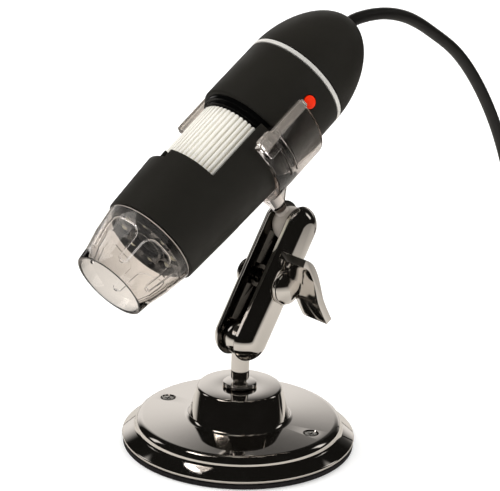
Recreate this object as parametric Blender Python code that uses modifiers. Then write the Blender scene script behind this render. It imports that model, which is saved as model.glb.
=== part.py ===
"""USB digital microscope on a ball-jointed chrome stand.

Metres, +Z up. The origin is the middle of the stand's pad, on the table. The arm leans toward +Y, the
microscope's nose points down toward -Y and the wing lever is on the +X side. Positions inside the
microscope are stations along its axis, measured from the mouth of the nose cap toward the tail.
"""
from math import atan2, cos, degrees, pi, radians, sin, sqrt, tan

import bmesh
import bpy
from mathutils import Matrix, Vector

# Clearances and general finish
GAP = 0.0003
RUNNING_GAP = 0.0004
EDGE = 0.0004
BASE_STEPS = 36
FINE_STEPS = 32
SMALL_STEPS = 20
TINY_STEPS = 12
SMALL_ROUND = 0.0010

# Stand base, turned
RIM_RADIUS = 0.0353
RIM_ROUND = 0.0006
RIM_HEIGHT = 0.0010
PAD_INSET = 0.0005
PAD_THICKNESS = 0.0014
BASE_LIFT = 0.0003
FLANGE_WIDTH = 0.0037
FLANGE_HEIGHT = 0.0050
STEP_WIDTH = 0.0004
STEP_HEIGHT = 0.0057
SHOULDER_ROUND = 0.0024
DISC_EDGE_HEIGHT = 0.0082
DISC_HUB_HEIGHT = 0.0086
HUB_FOOT_RADIUS = 0.0153
HUB_FOOT_ROUND = 0.0015
HUB_TOP_RADIUS = 0.01265
HUB_TOP_HEIGHT = 0.0182
HUB_TOP_ROUND = 0.0008
BASE_WALL = 0.0023
HUB_WALL = 0.0024
HUB_CEILING = 0.0030

# Ballast plate inside the base, with its two countersunk screws
BALLAST_HOLE_RADIUS = 0.0112
BALLAST_INSET = 0.0083
SCREW_INSET = 0.0107
SCREW_ANGLE = 17.5
SCREW_COUNT = 2
SCREW_HEAD_RADIUS = 0.0018
SCREW_HEAD_HEIGHT = 0.0008
SCREW_SHANK_RADIUS = 0.0011
SCREW_LENGTH = 0.0056
SCREW_SINK = 0.0002

# Ball stud with its collar and nut
BALL_RADIUS = 0.0055
BALL_HEIGHT = 0.0340
STEM_RADIUS = 0.00275
STEM_FOOT_HEIGHT = 0.0012
STEM_FOOT_ROUND = 0.0009
NECK_RADIUS = 0.0020
COLLAR_RADIUS = 0.0051
COLLAR_HEIGHT = 0.0011
STUD_SHANK_RADIUS = 0.0020
STUD_SHANK_END = 0.0090
NUT_ACROSS_FLATS = 0.0070
NUT_HEIGHT = 0.0030

# Arm: two half-oval plates that grip a ball at each end
ARM_LEAN = 31.6
BALL_SPACING = 0.0367
PLATE_WIDTH = 0.0130
PLATE_THICKNESS = 0.0045
PLATE_FILLET = 0.0043
PLATES_APART = 0.0065
SEAT_CLEARANCE = 0.00035
POCKET_DEPTH = 0.0024
POCKET_WIDTH = 0.0072
POCKET_WALL = 0.0013
CLAMP_BOSS_RADIUS = 0.0040
CLAMP_STATION = 0.0190

# Clamp bolt, washer and wing lever
BOLT_RADIUS = 0.0020
BOLT_HEAD_RADIUS = 0.0040
BOLT_HEAD_HEIGHT = 0.0022
BOLT_HEAD_RIM = 0.0007
WASHER_RADIUS = 0.0056
WASHER_THICKNESS = 0.0010
LEVER_HUB_RADIUS = 0.0053
LEVER_HUB_LENGTH = 0.0022
LEVER_HUB_ROUND = 0.0009
LEVER_BORE_DEPTH = 0.0014
WING_START = 0.0015
WING_REACH = 0.0115
WING_THICKNESS = 0.0023
WING_ROUND = 0.0007
WING_CORNER = 0.0062
WING_TOP_CORNER = 0.0016
# Middle line of the wing, seen along the clamp from +X: (toward +Y, up), top to bottom
WING_LINE = (
    (-0.0056, 0.0113),
    (-0.0040, 0.0115),
    (-0.0022, 0.0099),
    (-0.0004, 0.0062),
    (0.0009, 0.0023),
    (0.0020, -0.0013),
    (0.0033, -0.0041),
    (0.0048, -0.0069),
    (0.0060, -0.0090),
)

# Microscope: pose on the stand
PITCH = 32.72
HOLDER_ROLL = 8.5
BALL_REACH = 0.01454
BALL_STATION = 0.0595

# Microscope shells: the radius of each edge is set in from the barrel's by its own amount
BARREL_RADIUS = 0.01696
CAP_MOUTH_INSET = 0.00538
CAP_LIP_INSET = 0.00486
CAP_LIP_STATION = 0.0042
CAP_BELLY_INSET = 0.00336
CAP_BELLY_STATION = 0.0102
CAP_REAR_INSET = 0.00216
CAP_REAR_STATION = 0.0184
CAP_WALL = 0.0010
BARREL_FRONT_INSET = 0.00161
BARREL_WAIST_INSET = 0.00076
BARREL_WAIST_STATION = 0.0353
BARREL_RADIUS_STATION = 0.0549
BARREL_END_STATION = 0.0622
BARREL_WALL = 0.0016
WINDOW_STATION = 0.0403
WINDOW_STEP_STATION = 0.0373
WINDOW_NEAR_ANGLE = -40.0
WINDOW_FAR_ANGLE = -168.0
LOWER_WINDOW_HALF_ANGLE = 40.0
WINDOW_STEP_ANGLE = -97.0
TAB_ANGLE = -103.0
TAB_WIDTH = 0.0015
TAB_HEIGHT = 0.0022
COLLAR_FRONT_INSET = 0.00246
COLLAR_FRONT_STATION = 0.0615
COLLAR_REAR_INSET = 0.00146
REAR_FRONT_STATION = 0.0640
REAR_FRONT_INSET = 0.00016
REAR_END_INSET = 0.00036
REAR_END_STATION = 0.0855
REAR_WALL = 0.0016
COLLAR_WALL = 0.0015
RING_INSET = 0.00031
RING_LENGTH = 0.0013
TAIL_INSET = 0.00041
TAIL_LENGTH = 0.0255
TAIL_FULLNESS = 1.75
TAIL_WALL = 0.0018
TAIL_POINTS = 9
TAIL_INNER_POINTS = 5
SPIGOT_LENGTH = 0.0040
SPIGOT_WALL = 0.0014

# Cord gland in the tail
GLAND_RADIUS = 0.0029
GLAND_DEPTH = 0.0021
GLAND_FLANGE_RADIUS = 0.0048
GLAND_FLANGE_THICKNESS = 0.0014

# Lamp face, its board and the eight lamps
LAMP_FACE_STATION = 0.0163
LAMP_FACE_THICKNESS = 0.0037
LAMP_FLANGE_THICKNESS = 0.0014
LED_COUNT = 8
LED_CIRCLE_INSET = 0.0048
LED_RADIUS = 0.0015
LED_POCKET_RADIUS = 0.0019
LED_HEIGHT = 0.0030
LED_BOARD_THICKNESS = 0.0012

# Optics
LENS_TUBE_RADIUS = 0.0043
LENS_TUBE_WALL = 0.0011
LENS_TUBE_STATION = 0.0175
CARRIAGE_STATION = 0.0350
CARRIAGE_RADIUS = 0.0077
CARRIAGE_WALL = 0.0020
CARRIAGE_END_STATION = 0.0520
LENS_INSET = 0.0008
LENS_THICKNESS = 0.0020
GUIDE_WALL = 0.0012
GUIDE_STATION = 0.0300
GUIDE_FLANGE_RADIUS = 0.0110
SENSOR_BOARD_INSET = 0.0020
SENSOR_BOARD_STATION = 0.0660
SENSOR_BOARD_THICKNESS = 0.0016
SENSOR_SIZE = 0.0060
SENSOR_THICKNESS = 0.0012

# Focus ring
FOCUS_STATION = 0.0406
FOCUS_LENGTH = 0.0202
FOCUS_INSET = 0.00276
FOCUS_RIBS = 56
FOCUS_RIB_DEPTH = 0.0007
# Half widths of a rib at its foot and top, as shares of the rib spacing
FOCUS_RIB_FOOT = 0.36
FOCUS_RIB_TOP = 0.20

# Snap button, its switch and its board
BUTTON_STATION = 0.0781
BUTTON_ANGLE = -17.4
BUTTON_RADIUS = 0.0020
BUTTON_PROUD = 0.0007
BUTTON_CROWN = 0.0005
BUTTON_FLANGE_RADIUS = 0.0028
BUTTON_FLANGE_THICKNESS = 0.0008
BUTTON_TRAVEL = 0.0006
SWITCH_SIZE = 0.0045
SWITCH_HEIGHT = 0.0018
PLUNGER_SIZE = 0.0018
PLUNGER_HEIGHT = 0.0008
SWITCH_REST_GAP = 0.0001
BUTTON_BOARD_WIDTH = 0.0130
BUTTON_BOARD_LENGTH = 0.0160
BUTTON_BOARD_THICKNESS = 0.0012

# Clear holder
HOLDER_FRONT_STATION = 0.0549
HOLDER_LENGTH = 0.0205
HOLDER_WALL = 0.0018
HOLDER_HALF_WRAP = 110.5
LIP_WIDTH = 0.0024
LIP_STEP = 0.00134
NUB_LENGTH = 0.0070
NUB_STEP = 0.00254
NUB_WIDTH = 0.0034
HOLDER_STEM_RADIUS = 0.0034
STEM_SINK = 0.0007
HOLDER_NECK_RADIUS = 0.0020
GUSSET_THICKNESS = 0.0022
GUSSET_FRONT = -0.0046
GUSSET_REAR = 0.0100
GUSSET_DROP = 0.0072
GUSSET_TIP = 0.0017

# Cord, its coil and plug
CORD_RADIUS = 0.0019
CORD_LIE = 0.0020
CORD_STRAIGHT = 0.0010
CORD_STEP = 0.0045
# Free route behind the microscope, chosen by hand: x, y, z
CORD_ROUTE = (
    (-0.0050, 0.0478, 0.1224),
    (-0.0050, 0.0510, 0.1227),
    (-0.0050, 0.0555, 0.1227),
    (-0.0050, 0.0617, 0.1220),
    (-0.0050, 0.0684, 0.1202),
    (-0.0050, 0.0744, 0.1176),
    (-0.0050, 0.0820, 0.1130),
    (-0.0050, 0.0950, 0.1035),
    (-0.0050, 0.1060, 0.0910),
    (-0.0050, 0.1160, 0.0750),
    (-0.0050, 0.1240, 0.0570),
    (-0.0050, 0.1310, 0.0380),
    (-0.0040, 0.1385, 0.0200),
    (-0.0020, 0.1480, 0.0068),
    (-0.0004, 0.1560, 0.0026),
)
COIL_START = (0.0000, 0.1640, CORD_LIE)
COIL_RADIUS = 0.0280
COIL_PITCH = 0.00435
COIL_LAYER_TURNS = 4
COIL_LAYER_RISE = 0.0044
COIL_POINTS_PER_TURN = 24
COIL_CLIMB_TURNS = 0.5
# Route from the coil's upper end to the plug, chosen by hand and measured from that end: x, y, z
TAIL_ROUTE = (
    (0.0001, 0.0080, 0.0000),
    (0.0008, 0.0165, -0.0012),
    (0.0026, 0.0250, -0.0032),
    (0.0066, 0.0316, -0.0043),
    (0.0124, 0.0352, -0.0044),
    (0.0182, 0.0360, -0.0044),
)
PLUG_GRIP_LENGTH = 0.0200
PLUG_GRIP_WIDTH = 0.0155
PLUG_GRIP_HEIGHT = 0.0080
PLUG_NECK_LENGTH = 0.0080
PLUG_NECK_RADIUS = 0.0030
PLUG_SHELL_WIDTH = 0.0120
PLUG_SHELL_HEIGHT = 0.0045
PLUG_SHELL_LENGTH = 0.0118
PLUG_SHELL_WALL = 0.0004
PLUG_SHELL_DEPTH = 0.0090

# Sizes that follow from the ones above
PAD_RADIUS = RIM_RADIUS - PAD_INSET
FLANGE_RADIUS = RIM_RADIUS - FLANGE_WIDTH
SHOULDER_RADIUS = FLANGE_RADIUS - STEP_WIDTH
BALLAST_RADIUS = RIM_RADIUS - BALLAST_INSET
SCREW_CIRCLE_RADIUS = RIM_RADIUS - SCREW_INSET
BASE_BOTTOM = PAD_THICKNESS + BASE_LIFT
BORE_RADIUS = STUD_SHANK_RADIUS + GAP
COLLAR_BOTTOM = HUB_TOP_HEIGHT + GAP
PLATE_INNER = PLATES_APART / 2
PLATE_OUTER = PLATE_INNER + PLATE_THICKNESS
SEAT_RADIUS = BALL_RADIUS + SEAT_CLEARANCE
HEAD_TURN = 90.0 - HOLDER_ROLL
LOWER_WINDOW_START = HEAD_TURN - LOWER_WINDOW_HALF_ANGLE
LOWER_WINDOW_END = HEAD_TURN + LOWER_WINDOW_HALF_ANGLE
CAP_MOUTH_RADIUS = BARREL_RADIUS - CAP_MOUTH_INSET
CAP_LIP_RADIUS = BARREL_RADIUS - CAP_LIP_INSET
CAP_BELLY_RADIUS = BARREL_RADIUS - CAP_BELLY_INSET
CAP_REAR_RADIUS = BARREL_RADIUS - CAP_REAR_INSET
BARREL_FRONT_RADIUS = BARREL_RADIUS - BARREL_FRONT_INSET
BARREL_WAIST_RADIUS = BARREL_RADIUS - BARREL_WAIST_INSET
COLLAR_FRONT_RADIUS = BARREL_RADIUS - COLLAR_FRONT_INSET
COLLAR_REAR_RADIUS = BARREL_RADIUS - COLLAR_REAR_INSET
REAR_FRONT_RADIUS = BARREL_RADIUS - REAR_FRONT_INSET
REAR_END_RADIUS = BARREL_RADIUS - REAR_END_INSET
RING_RADIUS = BARREL_RADIUS - RING_INSET
TAIL_RADIUS = BARREL_RADIUS - TAIL_INSET
FOCUS_RADIUS = BARREL_RADIUS - FOCUS_INSET
CAP_BORE_REAR = CAP_REAR_RADIUS - CAP_WALL
BARREL_STATION = CAP_REAR_STATION + GAP
LAMP_RIM_RADIUS = CAP_BORE_REAR - 2 * GAP
LED_CIRCLE_RADIUS = CAP_BORE_REAR - LED_CIRCLE_INSET
LAMP_BACK_STATION = LAMP_FACE_STATION + LAMP_FACE_THICKNESS
LENS_HOLE_RADIUS = LENS_TUBE_RADIUS + RUNNING_GAP
GUIDE_BORE = CARRIAGE_RADIUS + GAP
GUIDE_RADIUS = GUIDE_BORE + GUIDE_WALL
GUIDE_FLANGE_STATION = COLLAR_FRONT_STATION + COLLAR_WALL + GAP
GUIDE_END_STATION = SENSOR_BOARD_STATION - GAP
FOCUS_BORE = GUIDE_RADIUS + GAP
RING_STATION = REAR_END_STATION + GAP
TAIL_STATION = RING_STATION + RING_LENGTH + GAP
REAR_BORE = REAR_END_RADIUS - REAR_WALL
SPIGOT_RADIUS = REAR_BORE - GAP
SENSOR_BOARD_RADIUS = REAR_BORE - SENSOR_BOARD_INSET
GLAND_BORE = GLAND_RADIUS + GAP
TAIL_END_STATION = TAIL_STATION + TAIL_LENGTH
GLAND_END_STATION = TAIL_END_STATION - GLAND_DEPTH
HOLDER_BORE = BARREL_RADIUS + GAP
HOLDER_RADIUS = HOLDER_BORE + HOLDER_WALL
LIP_RADIUS = HOLDER_RADIUS + LIP_STEP
NUB_RADIUS = HOLDER_RADIUS + NUB_STEP
AXIS_TO_BALL = HOLDER_RADIUS + BALL_REACH
COIL_TURNS = 2 * COIL_LAYER_TURNS


def clear_scene():
    """Remove what the opened file holds."""
    for thing in list(bpy.data.objects):
        bpy.data.objects.remove(thing, do_unlink=True)


clear_scene()
PARTS = bpy.data.collections.new("usb_digital_microscope")
CUTTERS = bpy.data.collections.new("cutters")
bpy.context.scene.collection.children.link(PARTS)
bpy.context.scene.collection.children.link(CUTTERS)

# Colour (linear RGB), metallic and roughness of each finish
FINISHES = {
    "chrome": ((0.78, 0.77, 0.74), 1.0, 0.12),
    "steel": ((0.42, 0.42, 0.42), 1.0, 0.35),
    "black_rubber": ((0.015, 0.015, 0.015), 0.0, 0.7),
    "soft_black": ((0.021, 0.019, 0.016), 0.0, 0.45),
    "gloss_black": ((0.010, 0.010, 0.010), 0.0, 0.15),
    "ivory": ((0.86, 0.85, 0.79), 0.0, 0.4),
    "clear": ((0.80, 0.76, 0.74), 0.0, 0.08),
    "silver": ((0.72, 0.71, 0.69), 0.9, 0.25),
    "red": ((0.80, 0.035, 0.010), 0.0, 0.35),
    "lamp": ((0.85, 0.87, 0.80), 0.0, 0.1),
    "board": ((0.02, 0.16, 0.05), 0.0, 0.5),
    "sensor": ((0.04, 0.045, 0.06), 0.2, 0.15),
    "glass": ((0.55, 0.60, 0.66), 0.0, 0.03),
}


def finish(part, kind):
    """Give a part its own material."""
    colour, metallic, roughness = FINISHES[kind]
    material = bpy.data.materials.new(part.name)
    material.use_nodes = True
    shader = material.node_tree.nodes["Principled BSDF"]
    shader.inputs["Base Color"].default_value = (*colour, 1.0)
    shader.inputs["Metallic"].default_value = metallic
    shader.inputs["Roughness"].default_value = roughness
    material.diffuse_color = (*colour, 1.0)
    part.data.materials.clear()
    part.data.materials.append(material)


def frame(name, location, rotation, parent=None):
    """Empty that carries the parts of one moving body, placed in its parent's axes."""
    empty = bpy.data.objects.new(name, None)
    empty.empty_display_size = 0.008
    empty.parent = parent
    empty.matrix_basis = Matrix.Translation(location) @ rotation.to_4x4()
    PARTS.objects.link(empty)
    bpy.context.view_layer.update()
    return empty


def place(part, parent, location=(0, 0, 0), rotation=None):
    """Seat a part in the axes of its frame."""
    part.parent = parent
    turn = (rotation or Matrix.Identity(3)).to_4x4()
    part.matrix_basis = Matrix.Translation(location) @ turn


def smooth(mesh):
    mesh.shade_smooth()
    mesh.set_sharp_from_angle(angle=radians(35))


def mesh_object(name, shape, collection=PARTS):
    """Object from a bmesh, with its faces turned outward."""
    mesh = bpy.data.meshes.new(name)
    bmesh.ops.recalc_face_normals(shape, faces=shape.faces)
    shape.to_mesh(mesh)
    shape.free()
    smooth(mesh)
    part = bpy.data.objects.new(name, mesh)
    collection.objects.link(part)
    if collection is CUTTERS:
        part.hide_render = True
        part.display_type = "WIRE"
    return part


def arc(middle, radius, start, end, steps):
    """Points on an arc, angles in degrees."""
    turns = [radians(start + (end - start) * i / steps) for i in range(steps + 1)]
    return [(middle[0] + radius * cos(t), middle[1] + radius * sin(t)) for t in turns]


def rounded(corners):
    """Outline with each corner (x, y, round) turned into an arc where it has a round."""
    points = []
    count = len(corners)
    for i, corner in enumerate(corners):
        here = Vector(corner[:2])
        size = corner[2] if len(corner) > 2 else 0.0
        if size <= 0.0:
            points.append(tuple(here))
            continue
        back = (Vector(corners[i - 1][:2]) - here).normalized()
        ahead = (Vector(corners[(i + 1) % count][:2]) - here).normalized()
        half = back.angle(ahead) / 2
        steps = 2 if size < SMALL_ROUND else 4
        middle = here + (back + ahead).normalized() * size / sin(half)
        first = here + back * size / tan(half) - middle
        sweep = (here + ahead * size / tan(half) - middle).angle_signed(first)
        for k in range(steps + 1):
            turned_to = Matrix.Rotation(sweep * k / steps, 2) @ first
            points.append(tuple(middle + turned_to))
    return points


def turned(name, profile, closed, steps=FINE_STEPS, collection=PARTS):
    """Turned solid. The profile (radius, height) runs down the outer side; a ring's is closed."""
    mesh = bpy.data.meshes.new(name)
    count = len(profile)
    edges = [(i, i + 1) for i in range(count - 1)]
    if closed:
        edges.append((count - 1, 0))
    mesh.from_pydata([(r, 0.0, z) for r, z in profile], edges, [])
    part = bpy.data.objects.new(name, mesh)
    collection.objects.link(part)
    screw = part.modifiers.new("turn", "SCREW")
    screw.axis = "Z"
    screw.steps = steps
    screw.render_steps = steps
    screw.use_merge_vertices = True
    screw.merge_threshold = 0.000001
    screw.use_smooth_shade = True
    if collection is CUTTERS:
        part.hide_render = True
        part.display_type = "WIRE"
    return part


def disc(name, radius, bottom, top, steps=SMALL_STEPS, collection=PARTS):
    """Plain cylinder, from the bottom height to the top height."""
    shape = bmesh.new()
    lift = Matrix.Translation((0, 0, (bottom + top) / 2))
    bmesh.ops.create_cone(
        shape,
        cap_ends=True,
        segments=steps,
        radius1=radius,
        radius2=radius,
        depth=top - bottom,
        matrix=lift,
    )
    return mesh_object(name, shape, collection)


def prism(name, outline, bottom, top, collection=PARTS, round_edges=0.0):
    """Outline in the XY plane raised from the bottom height to the top height."""
    shape = bmesh.new()
    floor = shape.faces.new([shape.verts.new((x, y, bottom)) for x, y in outline])
    raised = bmesh.ops.extrude_face_region(shape, geom=[floor])["geom"]
    ups = [v for v in raised if isinstance(v, bmesh.types.BMVert)]
    bmesh.ops.translate(shape, verts=ups, vec=(0, 0, top - bottom))
    if round_edges:
        ends = [e for e in shape.edges if abs(e.verts[0].co.z - e.verts[1].co.z) < 1e-7]
        bmesh.ops.bevel(shape, geom=ends, offset=round_edges, segments=2, profile=0.5, affect="EDGES")
    return mesh_object(name, shape, collection)


def sector(name, inner, outer, first, last, bottom, top, collection=CUTTERS):
    """Block between two radii and two angles in degrees."""
    steps = max(2, round((last - first) / 6))
    outline = arc((0, 0), outer, first, last, steps) + arc((0, 0), inner, last, first, steps)
    return prism(name, outline, bottom, top, collection)


def box(name, size, middle, collection=PARTS, round_edges=0.0):
    shape = bmesh.new()
    scaled = Matrix.Translation(middle) @ Matrix.Diagonal((*size, 1.0))
    bmesh.ops.create_cube(shape, size=1.0, matrix=scaled)
    if round_edges:
        edges = shape.edges[:]
        bmesh.ops.bevel(shape, geom=edges, offset=round_edges, segments=2, profile=0.5, affect="EDGES")
    return mesh_object(name, shape, collection)


def ball(name, radius, middle, collection=PARTS):
    shape = bmesh.new()
    lift = Matrix.Translation(middle)
    bmesh.ops.create_uvsphere(shape, u_segments=20, v_segments=12, radius=radius, matrix=lift)
    return mesh_object(name, shape, collection)


def combine(part, other, operation):
    """Boolean of a part with a shape that lies in the part's own axes or in its parent's frame."""
    step = part.modifiers.new(other.name, "BOOLEAN")
    step.operation = operation
    step.solver = "EXACT"
    step.object = other


def cut(part, cutter):
    combine(part, cutter, "DIFFERENCE")


def join(part, other):
    combine(part, other, "UNION")


# Frames of the moving bodies
UPRIGHT = Matrix.Identity(3)
# Turns an upright part so that its own Z runs along +X, its X along +Y and its Y up
ALONG_X = Matrix(((0, 0, 1), (1, 0, 0), (0, 1, 0)))
stud_frame = frame("stud_frame", (0, 0, BALL_HEIGHT), UPRIGHT)
arm_frame = frame("arm_frame", (0, 0, 0), Matrix.Rotation(radians(-ARM_LEAN), 3, "X"), stud_frame)
clamp_frame = frame(
    "clamp_frame",
    (0, 0, CLAMP_STATION),
    Matrix.Rotation(radians(ARM_LEAN), 3, "X") @ ALONG_X,
    arm_frame,
)
head_frame = frame(
    "head_frame",
    (0, 0, BALL_SPACING),
    Matrix.Rotation(radians(ARM_LEAN + PITCH - 90.0), 3, "X") @ Matrix.Rotation(radians(HEAD_TURN), 3, "Z"),
    arm_frame,
)
scope_frame = frame(
    "scope_frame",
    (-AXIS_TO_BALL, 0, -BALL_STATION),
    Matrix.Rotation(radians(-HEAD_TURN), 3, "Z"),
    head_frame,
)


def base_height(radius):
    """Height of the base's disc at a radius."""
    share = (radius - HUB_FOOT_RADIUS) / (SHOULDER_RADIUS - HUB_FOOT_RADIUS)
    return DISC_HUB_HEIGHT + (DISC_EDGE_HEIGHT - DISC_HUB_HEIGHT) * share


def make_base():
    """Chrome base, hollow below, with the stud's bore and the screws' countersinks."""
    ceiling = DISC_EDGE_HEIGHT - BASE_WALL
    profile = rounded((
        (HUB_TOP_RADIUS, HUB_TOP_HEIGHT, HUB_TOP_ROUND),
        (HUB_FOOT_RADIUS, DISC_HUB_HEIGHT, HUB_FOOT_ROUND),
        (SHOULDER_RADIUS, DISC_EDGE_HEIGHT, SHOULDER_ROUND),
        (SHOULDER_RADIUS, STEP_HEIGHT),
        (FLANGE_RADIUS, FLANGE_HEIGHT),
        (RIM_RADIUS, BASE_BOTTOM + RIM_HEIGHT, RIM_ROUND),
        (RIM_RADIUS - RIM_ROUND, BASE_BOTTOM),
        (RIM_RADIUS - BASE_WALL, BASE_BOTTOM),
        (SHOULDER_RADIUS - BASE_WALL, ceiling),
        (HUB_FOOT_RADIUS - HUB_WALL, ceiling),
        (HUB_TOP_RADIUS - HUB_WALL, HUB_TOP_HEIGHT - HUB_CEILING),
        (BORE_RADIUS, HUB_TOP_HEIGHT - HUB_CEILING),
        (BORE_RADIUS, HUB_TOP_HEIGHT),
    ))
    base = turned("base_shell", profile, closed=True, steps=BASE_STEPS)
    finish(base, "chrome")
    pad = disc("base_pad", PAD_RADIUS, 0.0, PAD_THICKNESS, steps=BASE_STEPS)
    finish(pad, "black_rubber")
    ballast = turned("ballast_plate", (
        (BALLAST_RADIUS, ceiling - GAP),
        (BALLAST_RADIUS, BASE_BOTTOM),
        (BALLAST_HOLE_RADIUS, BASE_BOTTOM),
        (BALLAST_HOLE_RADIUS, ceiling - GAP),
    ), closed=True, steps=FINE_STEPS)
    finish(ballast, "steel")
    top = base_height(SCREW_CIRCLE_RADIUS) - SCREW_SINK
    for number in range(SCREW_COUNT):
        angle = radians(SCREW_ANGLE + 360.0 * number / SCREW_COUNT)
        spot = (SCREW_CIRCLE_RADIUS * cos(angle), SCREW_CIRCLE_RADIUS * sin(angle), top)
        screw = turned(f"base_screw_{number + 1}", screw_profile(0.0), closed=False, steps=TINY_STEPS)
        place(screw, None, spot)
        finish(screw, "steel")
        hole = turned(f"screw_hole_{number + 1}", screw_profile(GAP), False, TINY_STEPS, CUTTERS)
        place(hole, None, spot)
        cut(base, hole)
        cut(ballast, hole)


def screw_profile(gap):
    """Countersunk screw from the middle of its head down, or its hole where a gap is given."""
    above = SCREW_SINK * 3 if gap else 0.0
    return (
        (0.0, above),
        (SCREW_HEAD_RADIUS + gap, above),
        (SCREW_HEAD_RADIUS + gap, -gap),
        (SCREW_SHANK_RADIUS + gap, -SCREW_HEAD_HEIGHT - gap),
        (SCREW_SHANK_RADIUS + gap, -SCREW_LENGTH - gap),
        (0.0, -SCREW_LENGTH - gap),
    )


def make_stud():
    """Ball on a stem with a collar on the hub, and the nut that holds it from below."""
    collar_top = COLLAR_BOTTOM + COLLAR_HEIGHT - BALL_HEIGHT
    stem_foot = collar_top + STEM_FOOT_HEIGHT
    joint = degrees(atan2(-sqrt(BALL_RADIUS**2 - STEM_RADIUS**2), STEM_RADIUS))
    lower = rounded((
        (STEM_RADIUS, stem_foot, STEM_FOOT_ROUND),
        (NECK_RADIUS, stem_foot),
        (NECK_RADIUS, collar_top),
        (COLLAR_RADIUS, collar_top, EDGE),
        (COLLAR_RADIUS, COLLAR_BOTTOM - BALL_HEIGHT),
        (STUD_SHANK_RADIUS, COLLAR_BOTTOM - BALL_HEIGHT),
        (STUD_SHANK_RADIUS, STUD_SHANK_END - BALL_HEIGHT),
        (0.0, STUD_SHANK_END - BALL_HEIGHT),
        (0.0, 0.0),
        (STEM_RADIUS, 0.0),
    ))[:-2]
    profile = arc((0, 0), BALL_RADIUS, 90.0, joint, 10) + lower
    profile[0] = (0.0, BALL_RADIUS)
    stud = turned("ball_stud", profile, closed=False, steps=SMALL_STEPS)
    place(stud, stud_frame)
    finish(stud, "chrome")
    nut_top = HUB_TOP_HEIGHT - HUB_CEILING - GAP - BALL_HEIGHT
    outer = NUT_ACROSS_FLATS / sqrt(3)
    shape = bmesh.new()
    lift = Matrix.Translation((0, 0, nut_top - NUT_HEIGHT / 2))
    bmesh.ops.create_cone(
        shape, cap_ends=True, segments=6, radius1=outer, radius2=outer, depth=NUT_HEIGHT, matrix=lift
    )
    nut = mesh_object("stud_nut", shape)
    below = nut_top - 2 * NUT_HEIGHT
    bore = disc("nut_bore", BORE_RADIUS, below, nut_top + NUT_HEIGHT, SMALL_STEPS, CUTTERS)
    place(nut, stud_frame)
    place(bore, stud_frame)
    cut(nut, bore)
    finish(nut, "steel")


def plate_outline():
    """Long round of an arm plate in its own length and width."""
    half = PLATE_WIDTH / 2
    upper = arc((BALL_SPACING, 0.0), half, -90.0, 90.0, 10)
    lower = arc((0.0, 0.0), half, 90.0, 270.0, 10)
    return upper + lower


def arm_plate(name, turn):
    """Half-oval plate: flat inner face with ball seats and pockets, outer edge rounded over."""
    shape = bmesh.new()
    corners = [shape.verts.new((PLATE_INNER, y, z)) for z, y in plate_outline()]
    inner = shape.faces.new(corners)
    raised = bmesh.ops.extrude_face_region(shape, geom=[inner])["geom"]
    ups = [v for v in raised if isinstance(v, bmesh.types.BMVert)]
    bmesh.ops.translate(shape, verts=ups, vec=(PLATE_THICKNESS, 0, 0))
    rim = [e for e in shape.edges if min(v.co.x for v in e.verts) > PLATE_OUTER - 1e-6]
    bmesh.ops.bevel(shape, geom=rim, offset=PLATE_FILLET, segments=4, profile=0.5, affect="EDGES")
    plate = mesh_object(name, shape)
    place(plate, arm_frame, rotation=Matrix.Rotation(turn, 3, "Z"))
    finish(plate, "chrome")
    return plate


def make_arm():
    plates = [arm_plate("arm_plate_right", 0.0), arm_plate("arm_plate_left", pi)]
    cutters = [
        ball("lower_seat", SEAT_RADIUS, (0, 0, 0), CUTTERS),
        ball("upper_seat", SEAT_RADIUS, (0, 0, BALL_SPACING), CUTTERS),
    ]
    seat_edge = SEAT_RADIUS + POCKET_WALL
    spans = (
        ("lower_pocket", seat_edge, CLAMP_STATION - CLAMP_BOSS_RADIUS),
        ("upper_pocket", CLAMP_STATION + CLAMP_BOSS_RADIUS, BALL_SPACING - seat_edge),
    )
    for name, low, high in spans:
        size = (2 * (PLATE_INNER + POCKET_DEPTH), POCKET_WIDTH, high - low)
        cutters.append(box(name, size, (0, 0, (low + high) / 2), CUTTERS))
    reach = 2 * PLATE_OUTER
    hole = disc("clamp_hole", BOLT_RADIUS + GAP, -reach, reach, SMALL_STEPS, CUTTERS)
    place(hole, clamp_frame)
    for cutter in cutters:
        place(cutter, arm_frame)
    for plate in plates:
        for cutter in cutters + [hole]:
            cut(plate, cutter)


def make_clamp():
    """Bolt from the -X side, washer and the lever's screwed hub on the +X side."""
    washer_bottom = PLATE_OUTER + GAP
    hub_bottom = washer_bottom + WASHER_THICKNESS + GAP
    head_top = PLATE_OUTER + GAP
    bolt_end = hub_bottom + LEVER_BORE_DEPTH - GAP
    crown = BOLT_HEAD_HEIGHT - BOLT_HEAD_RIM
    sphere = (BOLT_HEAD_RADIUS**2 + crown**2) / (2 * crown)
    spread = degrees(atan2(BOLT_HEAD_RADIUS, sphere - crown))
    dome = arc((0, -head_top - BOLT_HEAD_HEIGHT + sphere), sphere, -90.0 + spread, -90.0, 5)
    dome[-1] = (0.0, -head_top - BOLT_HEAD_HEIGHT)
    profile = [
        (0.0, bolt_end),
        (BOLT_RADIUS, bolt_end),
        (BOLT_RADIUS, -head_top),
        (BOLT_HEAD_RADIUS, -head_top),
    ] + dome
    bolt = turned("clamp_bolt", profile, closed=False, steps=SMALL_STEPS)
    place(bolt, clamp_frame)
    finish(bolt, "chrome")
    washer = turned("clamp_washer", (
        (WASHER_RADIUS, washer_bottom + WASHER_THICKNESS),
        (WASHER_RADIUS, washer_bottom),
        (BOLT_RADIUS + GAP, washer_bottom),
        (BOLT_RADIUS + GAP, washer_bottom + WASHER_THICKNESS),
    ), closed=True, steps=SMALL_STEPS)
    place(washer, clamp_frame)
    finish(washer, "chrome")
    make_lever(hub_bottom)


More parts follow.
